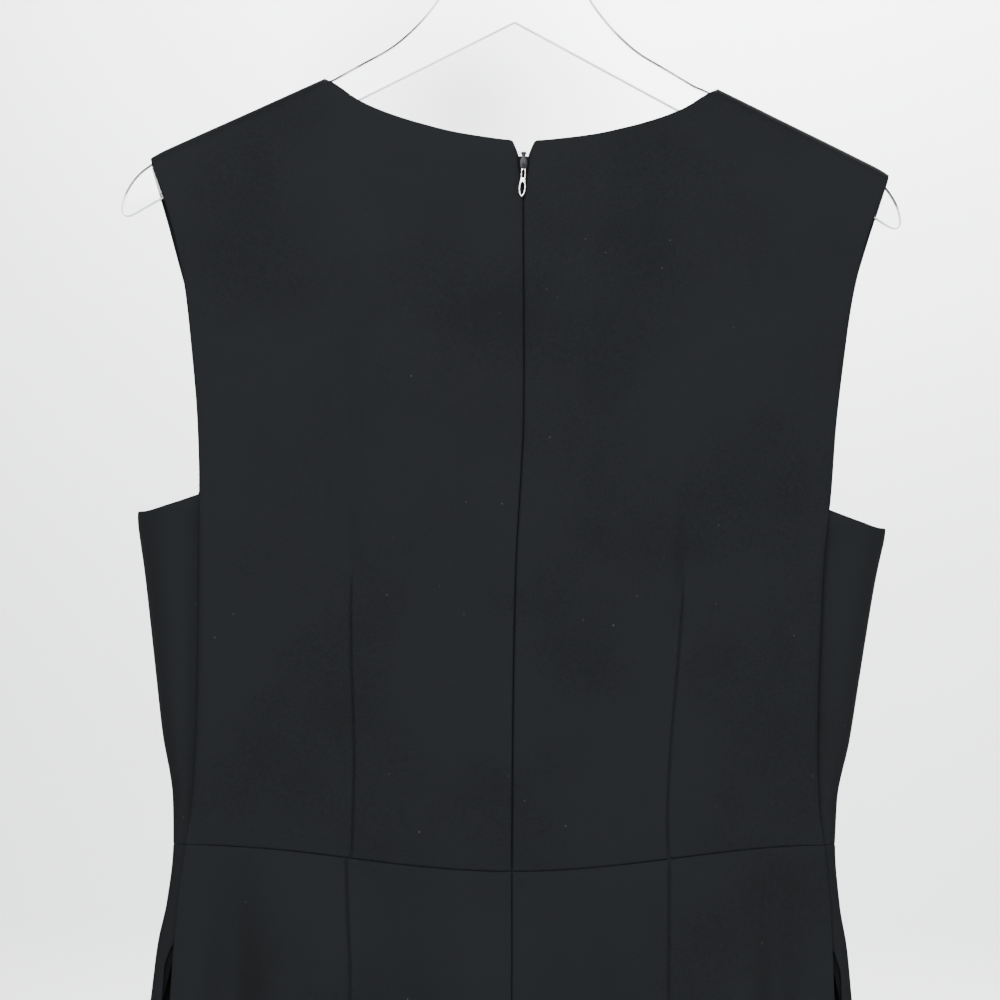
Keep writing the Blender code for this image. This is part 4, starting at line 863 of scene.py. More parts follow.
def half_front(side):
    """Half the front bodice: points from the seam to the centre, rows upwards, with relief and inset."""
    *low, tops, arm_at, dart_at = front_low(side)
    columns = len(tops)
    top = front_top(side, low[0][-1, arm_at:][::-1], columns - dart_at, dart_at - arm_at)
    cut_out = np.full((len(top[0]), arm_at), np.nan)
    x, y, drop = (np.concatenate([under, np.concatenate([cut_out, over[:, ::-1]], axis=1)])
                  for under, over in zip(low, top))
    below = np.arange(len(x))[:, None] < len(low[0])
    signed = side * x
    from_seam = np.cumsum(step_sizes(np.stack([x, y], axis=-1), 1), axis=1)
    # Beside the seam the panel is drawn in, over most of its width.
    drawn_in = side_tuck(drop) * (1.0 - smooth(from_seam / (0.8 * panel_wide(drop) + 3.0)))
    y = y + lines_height(FRONT_CREASES, signed, drop) + np.where(below, SIDE_SINK[side] * drawn_in, 0.0)
    dip = waist_dip(signed, drop, WAIST_DIP_FRONT) - waist_gap(WAIST - drop)
    points = placed(signed, y, drop + dip)
    to_arm = x[:, arm_at:arm_at + 1] - x
    edge = np.where(below, drop - tops[None], to_arm)
    edge = np.where(below & (np.arange(columns) > arm_at), np.hypot(to_arm, drop - ARM_JOIN), edge)
    to_neck = np.where(below, FAR, below_neck(x, drop, NECK_FRONT))
    sewn_dart = smooth((drop - DART_APEX_FRONT) / DART_FADE) * below
    even = smooth(edge / UNEVEN_FADE) * smooth(to_neck / UNEVEN_FADE)
    relief = (np.where(below, free_edge(edge), top_relief(x, drop, edge, to_neck, True))
              + bodice_stitches(side, x, drop, x - DART_FRONT_X, sewn_dart)
              + UNEVEN * wobble(signed, drop, size=66.0, start=2.2) * even)
    inset = np.minimum(inner_rounding(edge) + inner_rounding(to_neck), INSET_MOST)
    return points, relief, inset


def make_bodice_front(finish):
    """The front bodice, in one piece on the fold, reaching round both sides to the side seams."""
    left, right = half_front(LEFT), half_front(RIGHT)
    points, relief, inset = (np.concatenate([a, b[:, -2::-1]], axis=1) for a, b in zip(left, right))
    sewn("front_bodice", points, (0, 1, 0), relief, inset, "bodice_front", finish)


# ---- the trousers --------------------------------------------------------------------------------

def leg_drops():
    """Heights of a leg's rows, closer beside the waist seam and the hem and finer above the crotch."""
    upper = np.arange(WAIST + EDGE[-1] + PITCH, CROTCH, PITCH)
    lower = np.linspace(CROTCH, HEM - EDGE[-1], LEG_ROWS)
    return np.concatenate([WAIST + EDGE, upper, lower, HEM - EDGE[-2::-1]])


def leg_lines(side, drops, section_of, lines_of):
    """Points of a leg's grid in x and y, the length along each row, and the row's length."""
    xy, at, whole = [], [], []
    for drop in drops:
        section = section_of(side, drop)
        along = lengths(section)
        places = lines_of(side, drop, section, along)
        xy.append(divide(section, places))
        at.append(places)
        whole.append(along[-1])
    return np.array(xy), np.array(at), np.array(whole)[:, None]


def leg_relief(signed, at, whole, drop, start, seam):
    """Relief that both panels of a leg have: seams, hem, side edge and a little unevenness."""
    to_hem = HEM - drop
    stitched = -0.3 * near(to_hem - HEM_FOLD, 1.3) + 0.25 * smooth((HEM_FOLD - to_hem) / 3.0)
    return (waist_edge(signed, drop - WAIST) + seam + seam_edge(whole - at) + stitched
            - rolled(to_hem, reach=1.0, depth=0.8)
            + puckers(at, drop - WAIST, LEG_WAIST_PUCKERS, start)
            + puckers(at, to_hem - HEM_FOLD, HEM_PUCKERS, start)
            + puckers(drop, whole - at, SEAM_PUCKERS, start)
            + UNEVEN_LEG * wobble(signed, drop, size=95.0, start=start) * smooth((drop - WAIST) / 60.0))


def make_trouser_back(side, finish):
    """A back leg, with its waist dart, from the side seam to the centre back and inseam."""
    drops = leg_drops()

    def lines_of(side, drop, section, along):
        """Places of the columns along a section: closer beside its edges and its dart."""
        dart = np.interp(-back_dart_x(side, drop), -section[:, 0], along)
        return np.concatenate([spaced(0.0, dart, EDGE, DART, OUTER_COLUMNS)[0],
                               spaced(dart, along[-1], DART, EDGE, INNER_COLUMNS)[0, 1:]])

    xy, at, whole = leg_lines(side, drops, back_section, lines_of)
    drop = np.repeat(drops[:, None], xy.shape[1], axis=1)
    signed = side * xy[..., 0]
    level = drop + waist_dip(signed, drop, WAIST_DIP_BACK) + waist_gap(drop - WAIST)
    y = xy[..., 1] - lines_height(SEAT_CREASES, signed, drop)
    points = placed(signed + sway(signed, drop), y, level)
    dart_at = len(EDGE) + OUTER_COLUMNS + len(DART) - 1
    away = at[:, dart_at:dart_at + 1] - at
    sewn_dart = smooth((DART_END_TROUSER - drop) / DART_END_FADE)
    relief = (leg_relief(signed, at, whole, drop, 0.7 + side, side_edge(at))
              + dart_line(away, sewn_dart * 1.15) + puckers(drop, away, LEG_DART_PUCKERS, side) * sewn_dart)
    name = side_name(side)
    sewn(f"back_leg_{name}", points, (0, -1, 0), relief, np.zeros_like(relief), f"trouser_back_{name}",
         finish)


def make_trouser_front(side, finish):
    """A front leg. Its outer edge comes round to the back, and stands off at the pocket slit."""
    drops = leg_drops()

    def section_of(side, drop):
        """A section with the pocket slit open."""
        return front_section(side, drop, 1)

    def lines_of(side, drop, section, along):
        """Places of the columns along a section: closer beside its edges."""
        outermost = along[int(np.argmax(section[:DENSE // 4, 0]))]
        return np.concatenate([spaced(0.0, outermost, EDGE[:6], EDGE[:1], 6)[0],
                               spaced(outermost, along[-1], EDGE[:1], EDGE, FRONT_LEG_COLUMNS)[0, 1:]])

    xy, at, whole = leg_lines(side, drops, section_of, lines_of)
    drop = np.repeat(drops[:, None], xy.shape[1], axis=1)
    signed = side * xy[..., 0]
    level = drop + waist_dip(signed, drop, WAIST_DIP_FRONT) + waist_gap(drop - WAIST)
    points = placed(signed, xy[..., 1], level)
    relief = leg_relief(signed, at, whole, drop, 2.7 + side, free_edge(at) * slit(drop))
    inset = inner_rounding(at) * slit(drop)
    name = side_name(side)
    sewn(f"front_leg_{name}", points, (0, 1, 0), relief, inset, f"trouser_front_{name}", finish)


# ---- the zip -------------------------------------------------------------------------------------

def tape_depth(x, drop):
    """Depth of the tape's outer face: behind the deeper of the two back pieces."""
    depths = []
    for side in (LEFT, RIGHT):
        section = back_section(side, drop)[::-1]
        depths.append(np.interp(np.abs(x), section[:, 0], section[:, 1]))
    return np.maximum(*depths) + WALL + TAPE_BEHIND


def make_zip_tape(finish):
    """The concealed zip's tape, woven closer down its middle, with a line of stitches on each half."""
    x = np.concatenate([-np.linspace(TAPE_HALF, 0.6, 24), np.linspace(0.6, TAPE_HALF, 24)])
    drops = np.concatenate([np.linspace(TAPE_TOP, WAIST, 150), np.linspace(WAIST + 3.0, TAPE_BOTTOM, 56)])
    y = np.array([tape_depth(x, drop) for drop in drops])
    drop = np.repeat(drops[:, None], len(x), axis=1)
    x = np.repeat(x[None], len(drops), axis=0)
    points = placed(x + sway(x, drop), y, drop + waist_dip(0.0, drop, WAIST_DIP_BACK))
    inset = STITCH_DEEP * near(np.abs(x) - STITCH_AT, 0.6) + RIB_DEEP * near(np.abs(x) - RIB_AT, 0.5)
    mesh = cloth_mesh("zip_tape_cloth", points, (0, -1, 0), np.zeros_like(x), inset, TAPE_THICK)
    piece = add_piece("zip_tape_woven", mesh, finish, BODY, "zip tape", "zip_tape")


def only(piece):
    """Selects one piece and makes it active."""
    bpy.ops.object.select_all(action="DESELECT")
    piece.select_set(True)
    bpy.context.view_layer.objects.active = piece


def apply_all(piece):
    """Applies a piece's modifiers and its place."""
    only(piece)
    for modifier in list(piece.modifiers):
        bpy.ops.object.modifier_apply(modifier=modifier.name)
    bpy.ops.object.transform_apply(location=True, rotation=True, scale=True)


def joined(name, pieces):
    """Several pieces made into one."""
    bpy.ops.object.select_all(action="DESELECT")
    for piece in pieces:
        piece.select_set(True)
    bpy.context.view_layer.objects.active = pieces[0]
    bpy.ops.object.join()
    pieces[0].name = name
    return pieces[0]


def finished(piece, finish, body, slot_name, *nodes):
    """Shades a hard piece, gives it its finish and names what it stands for."""
    only(piece)
    bpy.ops.object.shade_smooth_by_angle(angle=SHARP)
    piece.data.materials.clear()
    piece.data.materials.append(finish)
    own_piece(piece, body, slot_name, *nodes)


def line_piece(name, splines, flat, **settings):
    """A mesh from polylines in millimetres: a round wire, or a filled flat outline with holes."""
    curve = bpy.data.curves.new(name, "CURVE")
    curve.dimensions = "2D" if flat else "3D"
    for points in splines:
        spline = curve.splines.new("POLY")
        spline.points.add(len(points) - 1)
        for target, point in zip(spline.points, points):
            target.co = (*(float(value) * MM for value in point[:3]), 1.0)
            target.radius = float(point[3]) if len(point) > 3 else 1.0
        spline.use_cyclic_u = flat
    for key, value in settings.items():
        setattr(curve, key, value)
    piece = bpy.data.objects.new(name, curve)
    bpy.context.scene.collection.objects.link(piece)
    only(piece)
    bpy.ops.object.convert(target="MESH")
    bpy.ops.object.mode_set(mode="EDIT")
    bpy.ops.mesh.select_all(action="SELECT")
    bpy.ops.mesh.remove_doubles(threshold=1e-6)
    bpy.ops.mesh.normals_make_consistent(inside=False)
    bpy.ops.object.mode_set(mode="OBJECT")
    return piece


def upright(piece, x, y, z, turn=0.0):
    """Stands a flat piece up across Y, turns it about Y and puts its middle at a place in millimetres."""
    turned = Matrix.Rotation(turn, 4, "Y") @ Matrix.Rotation(math.pi / 2, 4, "X")
    piece.data.transform(Matrix.Translation(Vector((x, y, z)) * MM) @ turned)


def rounded_plate(name, outlines, thickness, edge, steps):
    """A flat plate with rounded edges and corners, from the right halves of its outlines in x and height."""
    splines = [[(x, z, 0.0) for x, z in softened(mirrored(outline))] for outline in outlines]
    return line_piece(name, splines, True, fill_mode="BOTH", extrude=(thickness / 2 - edge) * MM,
                      bevel_depth=edge * MM, bevel_resolution=steps, offset=-edge * MM)


def softened(outline):
    """A closed outline with its corners rounded off."""
    points = np.array(outline, float)
    for _ in range(CORNER_PASSES):
        ahead = np.roll(points, -1, axis=0)
        points = np.stack([0.75 * points + 0.25 * ahead, 0.25 * points + 0.75 * ahead], axis=1).reshape(-1, 2)
    return points


def mirrored(half):
    """A closed outline from its right half, listed from bottom to top."""
    return [*half, *((-x, z) for x, z in reversed(half) if x > 0)]


def slider_front():
    """Depth of the slider's face."""
    return float(back_y(ZIP_OPEN, SLIDER_DROP)) - SLIDER_PROUD


def zip_middle():
    """The slider's place across, from the hook's middle."""
    return float(read(HANG, "aside", SLIDER_DROP) + sway(0.0, SLIDER_DROP))


def make_zip_slider(finish):
    """The slider: a shaped body in the gap between the back edges, and the bridge that holds the pull."""
    front, back = slider_front(), float(tape_depth(0.0, SLIDER_DROP)) - SEAM
    height = -NECK_BELOW_HOOK - SLIDER_DROP
    body = rounded_plate("slider_body", [SLIDER_OUTLINE], back - front, SLIDER_EDGE, 3)
    upright(body, zip_middle(), (front + back) / 2, height)
    turns = np.radians(np.linspace(0.0, 90.0, 7))
    in_z, in_y = ARCH_CORNER * (1 - np.cos(turns)), front - ARCH_OUT + ARCH_CORNER * (1 - np.sin(turns))
    top, bottom = list(zip(in_y, ARCH_TOP - in_z)), list(zip(in_y, ARCH_BOTTOM + in_z))
    way = [(front + ARCH_ROOT, ARCH_TOP), *top, *bottom[::-1], (front + ARCH_ROOT, ARCH_BOTTOM)]
    arch = line_piece("slider_bridge", [[(0.0, y, z) for y, z in way]], False,
                      bevel_depth=ARCH_ROD / 2 * MM, bevel_resolution=5, use_fill_caps=True)
    arch.data.transform(Matrix.Diagonal((ARCH_WIDER, 1.0, 1.0, 1.0)))
    arch.data.transform(Matrix.Translation(Vector((zip_middle(), 0.0, height)) * MM))
    finished(joined("zip_slider_body", [body, arch]), finish, BODY, "black metal", "zip_slider")


def make_zip_pull(finish):
    """The pull: a bar under the slider's bridge, a slotted neck and a leaf-shaped ring."""
    pull = rounded_plate("zip_pull_tab", [PULL_OUTLINE, PULL_SLOT, PULL_RING], PULL_THICK, PULL_EDGE, 3)
    bar = ARCH_BOTTOM + ARCH_ROD / 2 + SEAM + PULL_BAR / 2
    upright(pull, zip_middle(), slider_front() - PULL_OUT, -NECK_BELOW_HOOK - SLIDER_DROP + bar, PULL_LEAN)
    finished(pull, finish, PULL_BODY, "silver metal", "zip_pull")


def make_zip_teeth(finish):
    """The zip's two rows of small teeth, on the tape's inner face."""
    sampled = [(d, float(tape_depth(0.0, d))) for d in np.arange(30.0, 580.0, 10.0)]
    depths = table("drop depth", *sampled)
    for side in (LEFT, RIGHT):
        bpy.ops.mesh.primitive_cube_add(size=1.0)
        teeth = bpy.context.object
        teeth.data.transform(Matrix.Diagonal((*(size * MM for size in TOOTH_SIZE), 1.0)))
        bevel = teeth.modifiers.new("rounded edges", "BEVEL")
        bevel.width, bevel.segments = TOOTH_EDGE * MM, 1
        array = teeth.modifiers.new("row of teeth", "ARRAY")
        array.use_relative_offset, array.use_constant_offset = False, True
        array.constant_offset_displace = (0.0, 0.0, -TOOTH_PITCH * MM)
        array.count = TOOTH_COUNT
        apply_all(teeth)
        mesh = teeth.data
        places = np.empty(len(mesh.vertices) * 3)
        mesh.vertices.foreach_get("co", places)
        places = places.reshape(-1, 3) / MM
        drop = TEETH_TOP - places[:, 2] + (TOOTH_PITCH / 2 if side == RIGHT else 0.0)
        low = read(depths, "depth", drop) + TAPE_THICK + TOOTH_BEHIND
        x = places[:, 0] + side * TOOTH_ASIDE
        level = drop + waist_dip(0.0, drop, WAIST_DIP_BACK)
        mesh.vertices.foreach_set("co", placed(x + sway(x, drop), places[:, 1] + low, level).ravel())
        mesh.update()
        teeth.name = f"zip_teeth_{side_name(side)}"
        finished(teeth, finish, BODY, "black metal")


# ---- the hanger ----------------------------------------------------------------------------------

def make_hanger_plate(finish):
    """The clear plate, with rounded edges and a blind hole in its top for the hook."""
    lower = [(x, PLATE_APEX + x * PLATE_SLOPE) for x in PLATE_LOWER_AT]
    end = [(float(x), float(drop)) for x, drop in zip(PLATE_END["half"], PLATE_END["drop"])]
    shoulder = [(x, float(ridge_drop(x)) + PLATE_UNDER_CLOTH) for x in PLATE_SHOULDER_AT]
    upper = [(x, float(read(PLATE_UPPER, "drop", x))) for x in PLATE_UPPER_AT]
    half = [(x, -NECK_BELOW_HOOK - drop) for x, drop in lower + end + shoulder + upper]
    plate = rounded_plate("hanger_clear_plate", [half], PLATE_THICK, PLATE_EDGE, 6)
    upright(plate, 0.0, 0.0, 0.0)
    top, past = -NECK_BELOW_HOOK - PLATE_TOP, 4.0
    bpy.ops.mesh.primitive_cylinder_add(
        vertices=48, radius=(ROD / 2 + SEAM) * MM, depth=(ROD_DEPTH + past) * MM,
        location=(0.0, 0.0, (top - ROD_DEPTH / 2 + past / 2) * MM))
    drill = bpy.context.object
    hole = plate.modifiers.new("hole for the hook", "BOOLEAN")
    hole.operation, hole.object = "DIFFERENCE", drill
    apply_all(plate)
    bpy.data.objects.remove(drill)
    finished(plate, finish, BODY, "clear plate", "hanger_plate")
    even = plate.modifiers.new("flat faces stay flat", "WEIGHTED_NORMAL")
    even.weight, even.keep_sharp = 100, True
    apply_all(plate)


def make_hanger_hook(finish):
    """The hook: a round wire up out of the plate, round its loop to a rounded tip."""
    centre, top, join = ROD / 2 - HOOK_RADIUS, -NECK_BELOW_HOOK - PLATE_TOP, math.radians(HOOK_JOIN)
    start = np.array([0.0, top + HOOK_STRAIGHT])
    end = np.array([HOOK_RADIUS * math.cos(join), centre + HOOK_RADIUS * math.sin(join)])
    along_loop = np.array([-math.sin(join), math.cos(join)])
    pulls = (start, start + (0.0, HOOK_PULL), end - along_loop * HOOK_PULL, end)
    points = [(0.0, top - ROD_DEPTH + SEAM), (0.0, top - 2.0)]
    for t in np.linspace(0.0, 1.0, 20):
        weights = ((1 - t) ** 3, 3 * t * (1 - t) ** 2, 3 * t * t * (1 - t), t ** 3)
        points.append(tuple(sum(weight * point for weight, point in zip(weights, pulls))))
    tip, rounding = math.degrees(ROD / 2 / HOOK_RADIUS), np.linspace(1.4, 0.12, 8)
    round_loop, round_tip = np.linspace(HOOK_FIRST, HOOK_TIP - tip, 70), HOOK_TIP - tip * np.cos(rounding)
    for angle in np.radians([*round_loop, *round_tip]):
        points.append((HOOK_RADIUS * math.cos(angle), centre + HOOK_RADIUS * math.sin(angle)))
    thick = np.ones(len(points))
    thick[-len(rounding):] = np.sin(rounding)
    way = [(x, 0.0, z, r) for (x, z), r in zip(points, thick)]
    hook = line_piece("hanger_wire_hook", [way], False, bevel_depth=ROD / 2 * MM, bevel_resolution=8,
                      use_fill_caps=True)
    finished(hook, finish, BODY, "silver metal", "hanger_hook")


# ---- finishes ------------------------------------------------------------------------------------

class Finish:
    """A material whose nodes are added one by one."""

    def __init__(self, name, colour, roughness, metallic=0.0):
        self.made = bpy.data.materials.new(name)
        self.made.use_nodes = True
        self.nodes, self.links = self.made.node_tree.nodes, self.made.node_tree.links
        self.shader = self.nodes["Principled BSDF"]
        self.set("Base Color", (*colour, 1.0))
        self.set("Roughness", roughness)
        self.set("Metallic", metallic)
        self.made.diffuse_color = (*colour, 1.0)

    def set(self, socket, value):
        """Sets one of the shader's own values."""
        self.shader.inputs[socket].default_value = value

    def add(self, kind, inputs=(), **settings):
        """Adds a node, gives its inputs their values or links, and returns its outputs."""
        node = self.nodes.new(kind)
        for key, value in settings.items():
            setattr(node, key, value)
        for socket, value in dict(inputs).items():
            if isinstance(value, bpy.types.NodeSocket):
                self.links.new(value, node.inputs[socket])
            else:
                node.inputs[socket].default_value = value
        return node.outputs

    def noise(self, where, scale, detail):
        """Soft spots, about this many a metre."""
        return self.add("ShaderNodeTexNoise", {"Vector": where, "Scale": scale, "Detail": detail})["Fac"]

    def ramp(self, value, low, high, dark, light):
        """A colour that goes from dark to light between a low and a high value."""
        ramp = self.nodes.new("ShaderNodeValToRGB")
        ramp.color_ramp.elements[0].position, ramp.color_ramp.elements[1].position = low, high
        ramp.color_ramp.elements[0].color, ramp.color_ramp.elements[1].color = (*dark, 1.0), (*light, 1.0)
        self.links.new(value, ramp.inputs["Fac"])
        return ramp.outputs["Color"]

    def level(self, value, start, end):
        """0 at start and 1 at end, and even between."""
        return self.add("ShaderNodeMapRange", {"Value": value, "From Min": start, "From Max": end})["Result"]

    def times(self, one, other):
        """The product of two values."""
        return self.add("ShaderNodeMath", {0: one, 1: other}, operation="MULTIPLY")["Value"]

    def sum_of(self, one, factor, other):
        """One value times a factor, plus another."""
        return self.add("ShaderNodeMath", {0: one, 1: factor, 2: other}, operation="MULTIPLY_ADD")["Value"]

    def blend(self, factor, one, other):
        """One colour where the factor is 0, the other where it is 1."""
        return self.add("ShaderNodeMix", {"Factor": factor, 6: one, 7: other}, data_type="RGBA")[2]

    def bump(self, height, distance, strength, under=None):
        """A surface raised by a height, on top of another bump if there is one under it."""
        inputs = {"Height": height, "Distance": distance, "Strength": strength}
        if under is not None:
            inputs["Normal"] = under
        return self.add("ShaderNodeBump", inputs)["Normal"]

    def put(self, socket, value):
        """Links a value to one of the shader's inputs."""
        self.links.new(value, self.shader.inputs[socket])


def grey(value):
    """A value as a colour."""
    return (value,) * 3


def woven_cloth(name, dark, light, thread, sheen):
    """A dense plain weave with a soft nap, faint tone changes and a few pale specks of lint."""
    made = Finish(name, light, 0.82)
    made.set("Specular IOR Level", 0.06)
    made.set("Sheen Weight", sheen)
    made.set("Sheen Roughness", 0.45)
    made.set("Sheen Tint", (0.9, 0.95, 1.0, 1.0))
    flat = made.add("ShaderNodeUVMap", uv_map="weave")["UV"]
    solid = made.add("ShaderNodeTexCoord")["Object"]
    yarns = {"Vector": flat, "Scale": math.pi / 10 / thread, "Distortion": 0.6, "Detail": 1.0,
             "Detail Scale": 1.0}
    weave = made.times(*(made.add("ShaderNodeTexWave", yarns, bands_direction=way)["Fac"] for way in "XY"))
    tone, nap = made.noise(solid, 9.0, 3.0), made.noise(solid, 900.0, 3.0)
    mixed = made.add("ShaderNodeMath", {0: tone, 1: nap}, operation="ADD")["Value"]
    base = made.ramp(mixed, 0.8, 1.2, dark, light)
    lint = made.ramp(made.noise(solid, 420.0, 1.0), 0.815, 0.84, grey(0.0), grey(0.6))
    made.put("Base Color", made.blend(lint, base, (0.06, 0.06, 0.063, 1.0)))
    coarse = made.bump(made.noise(solid, 160.0, 4.0), 0.0006, 0.14)
    made.put("Normal", made.bump(weave, 0.0002, 0.32, coarse))
    made.put("Roughness", made.ramp(nap, 0.3, 0.7, grey(0.76), grey(0.9)))
    return made.made


def pocket_cloth():
    """Thin, smooth pocketing."""
    made = Finish("pocket_cloth", (0.004, 0.004, 0.005), 0.9)
    made.set("Specular IOR Level", 0.04)
    where = made.add("ShaderNodeTexCoord")["Object"]
    tone = made.noise(where, 30.0, 3.0)
    made.put("Base Color", made.ramp(tone, 0.3, 0.7, (0.0030, 0.0030, 0.0034), (0.0050, 0.0050, 0.0056)))
    waves = {"Vector": where, "Scale": 110.0, "Distortion": 0.8}
    threads = made.add("ShaderNodeTexWave", waves, bands_direction="Z")["Fac"]
    made.put("Normal", made.bump(threads, 0.0002, 0.3))
    return made.made


def tape_cloth():
    """The zip's ribbed tape."""
    made = Finish("zip_tape_rib", (0.005, 0.005, 0.006), 0.8)
    made.set("Specular IOR Level", 0.05)
    flat = made.add("ShaderNodeUVMap", uv_map="weave")["UV"]
    waves = {"Vector": flat, "Scale": 60.0, "Distortion": 0.3}
    rib = made.add("ShaderNodeTexWave", waves, bands_direction="X")["Fac"]
    made.put("Base Color", made.ramp(rib, 0.1, 0.8, (0.004, 0.004, 0.0045), (0.008, 0.008, 0.009)))
    made.put("Normal", made.bump(rib, 0.0003, 0.6))
    return made.made


def metal(name, dark, light, rough, marks):
    """Bare or painted metal with fine wear."""
    made = Finish(name, light, rough, 1.0)
    where = made.add("ShaderNodeTexCoord")["Object"]
    worn = made.noise(where, marks, 4.0)
    made.put("Base Color", made.ramp(worn, 0.3, 0.7, dark, light))
    made.put("Roughness", made.ramp(worn, 0.35, 0.75, grey(rough * 0.8), grey(rough * 1.5)))
    made.put("Normal", made.bump(worn, 0.00003, 0.3))
    return made.made


def clear_plastic_painted_rim():
    """Clear polished plastic, with a painted reflection on its rounded rim: a thin painted line, dark beside
    the cloth and a pale painted highlight between.
    """
    made = Finish("clear_plastic_painted_rim", (0.93, 0.95, 0.955), 0.03)
    made.set("IOR", 1.49)
    made.set("Specular IOR Level", 0.3)
    where = made.add("ShaderNodeTexCoord")["Object"]
    place = made.add("ShaderNodeSeparateXYZ", {"Vector": where})
    aside, depth = (made.add("ShaderNodeMath", {0: place[axis]}, operation="ABSOLUTE")["Value"]
                    for axis in "XY")
    uneven = made.sum_of(made.noise(where, 24.0, 1.0), 0.03, aside)
    above_lower_edge = made.sum_of(aside, PLATE_SLOPE, place["Z"])
    # Painted dark reflection of the black cloth on the rim, this far aside of the hook and above the lower
    # edge.
    painted_dark_near_cloth = made.times(made.level(uneven, *PAINTED_DARK_ASIDE), made.level(above_lower_edge, *PAINTED_DARK_ABOVE))
    # The painted line's colours: a pale painted highlight and a dark painted reflection.
    painted_white_highlight, dark = (0.95, 0.96, 0.97, 1.0), (0.012, 0.012, 0.013, 1.0)
    tone = made.blend(painted_dark_near_cloth, painted_white_highlight, dark)
    tone = made.blend(made.level(place["Z"], *PAINTED_WHITE_ENDS), tone, painted_white_highlight)
    # The painted line itself, in a band of the rim's depth and of uneven strength; it is opaque where it is
    # painted.
    line = made.times(made.level(depth, *PAINTED_LINE_STARTS), made.level(depth, *PAINTED_LINE_STOPS))
    line = made.times(line, made.ramp(made.noise(where, 55.0, 2.0), 0.36, 0.52, grey(0.7), grey(1.0)))
    made.put("Base Color", made.blend(line, (0.995, 0.997, 1.0, 1.0), tone))
    made.put("Transmission Weight", made.level(line, 1.0, 0.0))
    stretched = made.add("ShaderNodeMapping", {"Vector": where, "Scale": (4.0, 4.0, 60.0)})["Vector"]
    made.put("Roughness", made.ramp(made.noise(stretched, 8.0, 4.0), 0.45, 0.8, grey(0.015), grey(0.07)))
    made.put("Normal", made.bump(made.noise(where, 22.0, 2.0), 0.0004, 0.06))
    return made.made


def pale_wall_with_painted_shadow():
    """The pale wall and floor, with a painted shadow that darkens the wall behind the garment."""
    made = Finish("pale_wall", WALL_TONE, 0.9)
    where = made.add("ShaderNodeTexCoord")["Object"]
    # Painted shadow: the wall's colour grows darker towards this place behind the garment.
    away = made.add("ShaderNodeVectorMath", {0: where, 1: PAINTED_SHADOW_AT}, operation="DISTANCE")["Value"]
    painted_shadow_colour = tuple(PAINTED_SHADOW_TONE * value for value in WALL_TONE)
    made.put("Base Color", made.blend(made.level(away, 0.0, PAINTED_SHADOW_REACH), (*painted_shadow_colour, 1.0), (*WALL_TONE, 1.0)))
    made.put("Normal", made.bump(made.noise(where, 90.0, 3.0), 0.0005, 0.1))
    return made.made


# ---- wall, light and camera ----------------------------------------------------------------------

def make_backdrop(finish):
    """A pale floor that curves up into a pale wall far behind the garment."""
    turns = np.linspace(0.0, math.pi / 2, 16)
    curve = zip(WALL_AT - WALL_CURVE * (1 - np.cos(turns)), FLOOR_AT + WALL_CURVE * (1 - np.sin(turns)))
    line = [(WALL_AT, WALL_TOP), *curve, (-ROOM_HALF, FLOOR_AT)]
    points = [(x, y, z) for y, z in line for x in (-ROOM_HALF, ROOM_HALF)]
    faces = [(2 * i, 2 * i + 1, 2 * i + 3, 2 * i + 2) for i in range(len(line) - 1)]
    mesh = bpy.data.meshes.new("pale_room")
    mesh.from_pydata(points, [], faces)
    mesh.materials.append(finish)
    mesh.shade_smooth()
    room = bpy.data.objects.new("pale_room", mesh)
    bpy.context.scene.collection.objects.link(room)


def make_light(name, place, aim, size, watts):
    """A soft rectangular studio light."""
    lamp = bpy.data.lights.new(name, "AREA")
    lamp.shape, lamp.size, lamp.size_y, lamp.energy = "RECTANGLE", size[0], size[1], watts
    light = bpy.data.objects.new(name, lamp)
    light.location = place
    light.visible_camera = False
    light.rotation_euler = (Vector(aim) - Vector(place)).to_track_quat("-Z", "Y").to_euler()
    bpy.context.scene.collection.objects.link(light)


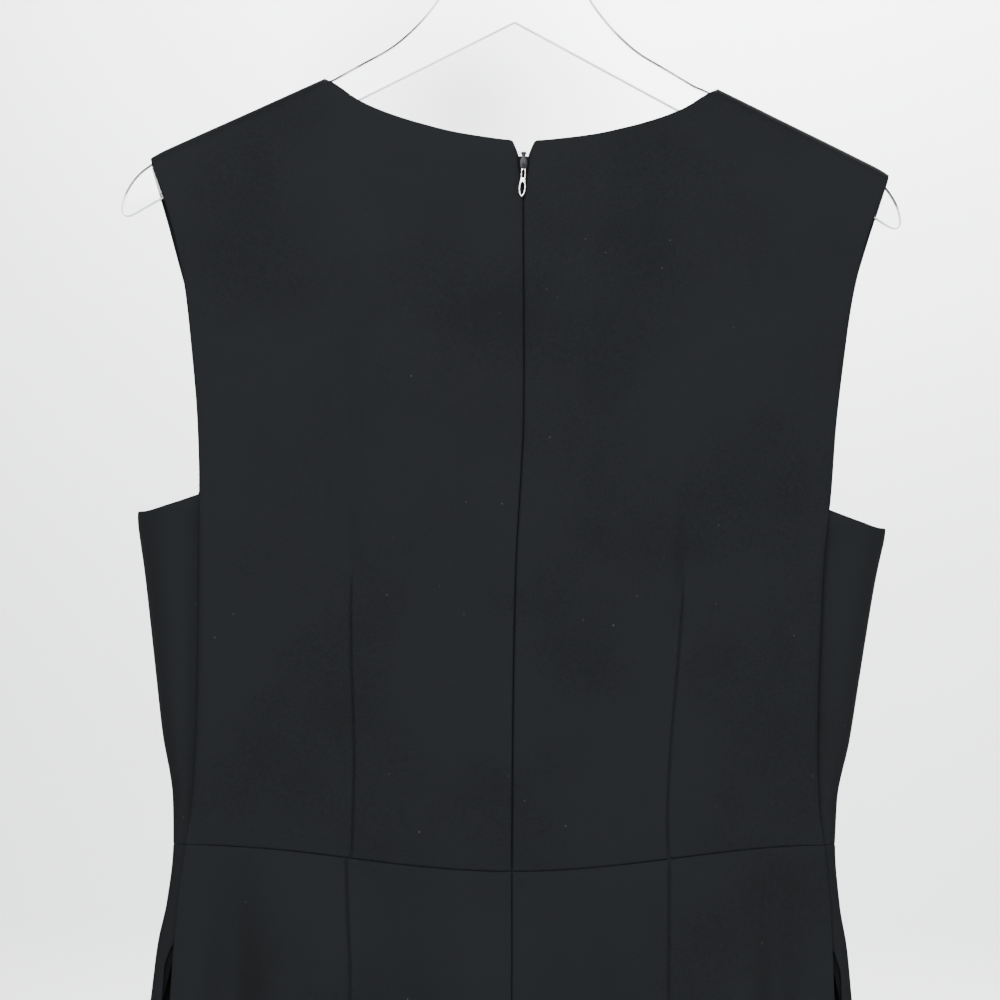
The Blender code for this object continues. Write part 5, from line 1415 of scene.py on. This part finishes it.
def make_camera():
    """A long lens square on to the back, turned and rolled as the photo was."""
    lens = bpy.data.cameras.new("camera")
    lens.sensor_width, lens.sensor_height, lens.sensor_fit = SENSOR, SENSOR, "AUTO"
    lens.lens = SENSOR * CAMERA_AWAY / FRAME_WIDE
    camera = bpy.data.objects.new("camera", lens)
    aim, yaw = Vector(CAMERA_AIM), math.radians(CAMERA_YAW)
    place = aim + Vector((math.sin(yaw), -math.cos(yaw), 0.0)) * CAMERA_AWAY
    turned = (aim - place).to_track_quat("-Z", "Y").to_matrix().to_4x4()
    rolled_over = Matrix.Rotation(math.radians(CAMERA_ROLL), 4, "Z")
    camera.matrix_world = Matrix.Translation(place) @ turned @ rolled_over
    bpy.context.scene.collection.objects.link(camera)
    bpy.context.scene.camera = camera


def make_world():
    """Even pale light from all round."""
    world = bpy.data.worlds.new("studio")
    world.use_nodes = True
    inputs = world.node_tree.nodes["Background"].inputs
    inputs["Color"].default_value = (*WORLD_TONE, 1.0)
    inputs["Strength"].default_value = WORLD_STRENGTH
    bpy.context.scene.world = world


def main():
    """Makes every piece, then the room, its lights and the camera."""
    black = woven_cloth("black_cloth_weave", (0.0052, 0.0058, 0.0066), (0.0074, 0.0082, 0.0092),
                        thread=0.00045, sheen=0.008)
    for side in (LEFT, RIGHT):
        make_bodice_back(side, black)
        make_trouser_back(side, black)
        make_trouser_front(side, black)
    make_bodice_front(black)
    make_zip_tape(tape_cloth())
    black_metal = metal("black_lacquered_metal", (0.012, 0.012, 0.013), (0.02, 0.02, 0.022), 0.3, 700.0)
    make_zip_slider(black_metal)
    make_zip_teeth(black_metal)
    silver = metal("silver_metal", (0.50, 0.50, 0.51), (0.62, 0.62, 0.63), 0.22, 300.0)
    make_zip_pull(silver)
    make_hanger_plate(clear_plastic_painted_rim())
    make_hanger_hook(silver)
    lining = pocket_cloth()
    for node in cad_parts:
        if node.startswith("pocket_"):
            for material_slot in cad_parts[node].material_slots:
                material_slot.material = lining
    make_backdrop(pale_wall_with_painted_shadow())
    make_world()
    for light in LIGHTS:
        make_light(*light)
    make_camera()
    bpy.context.view_layer.update()


main()
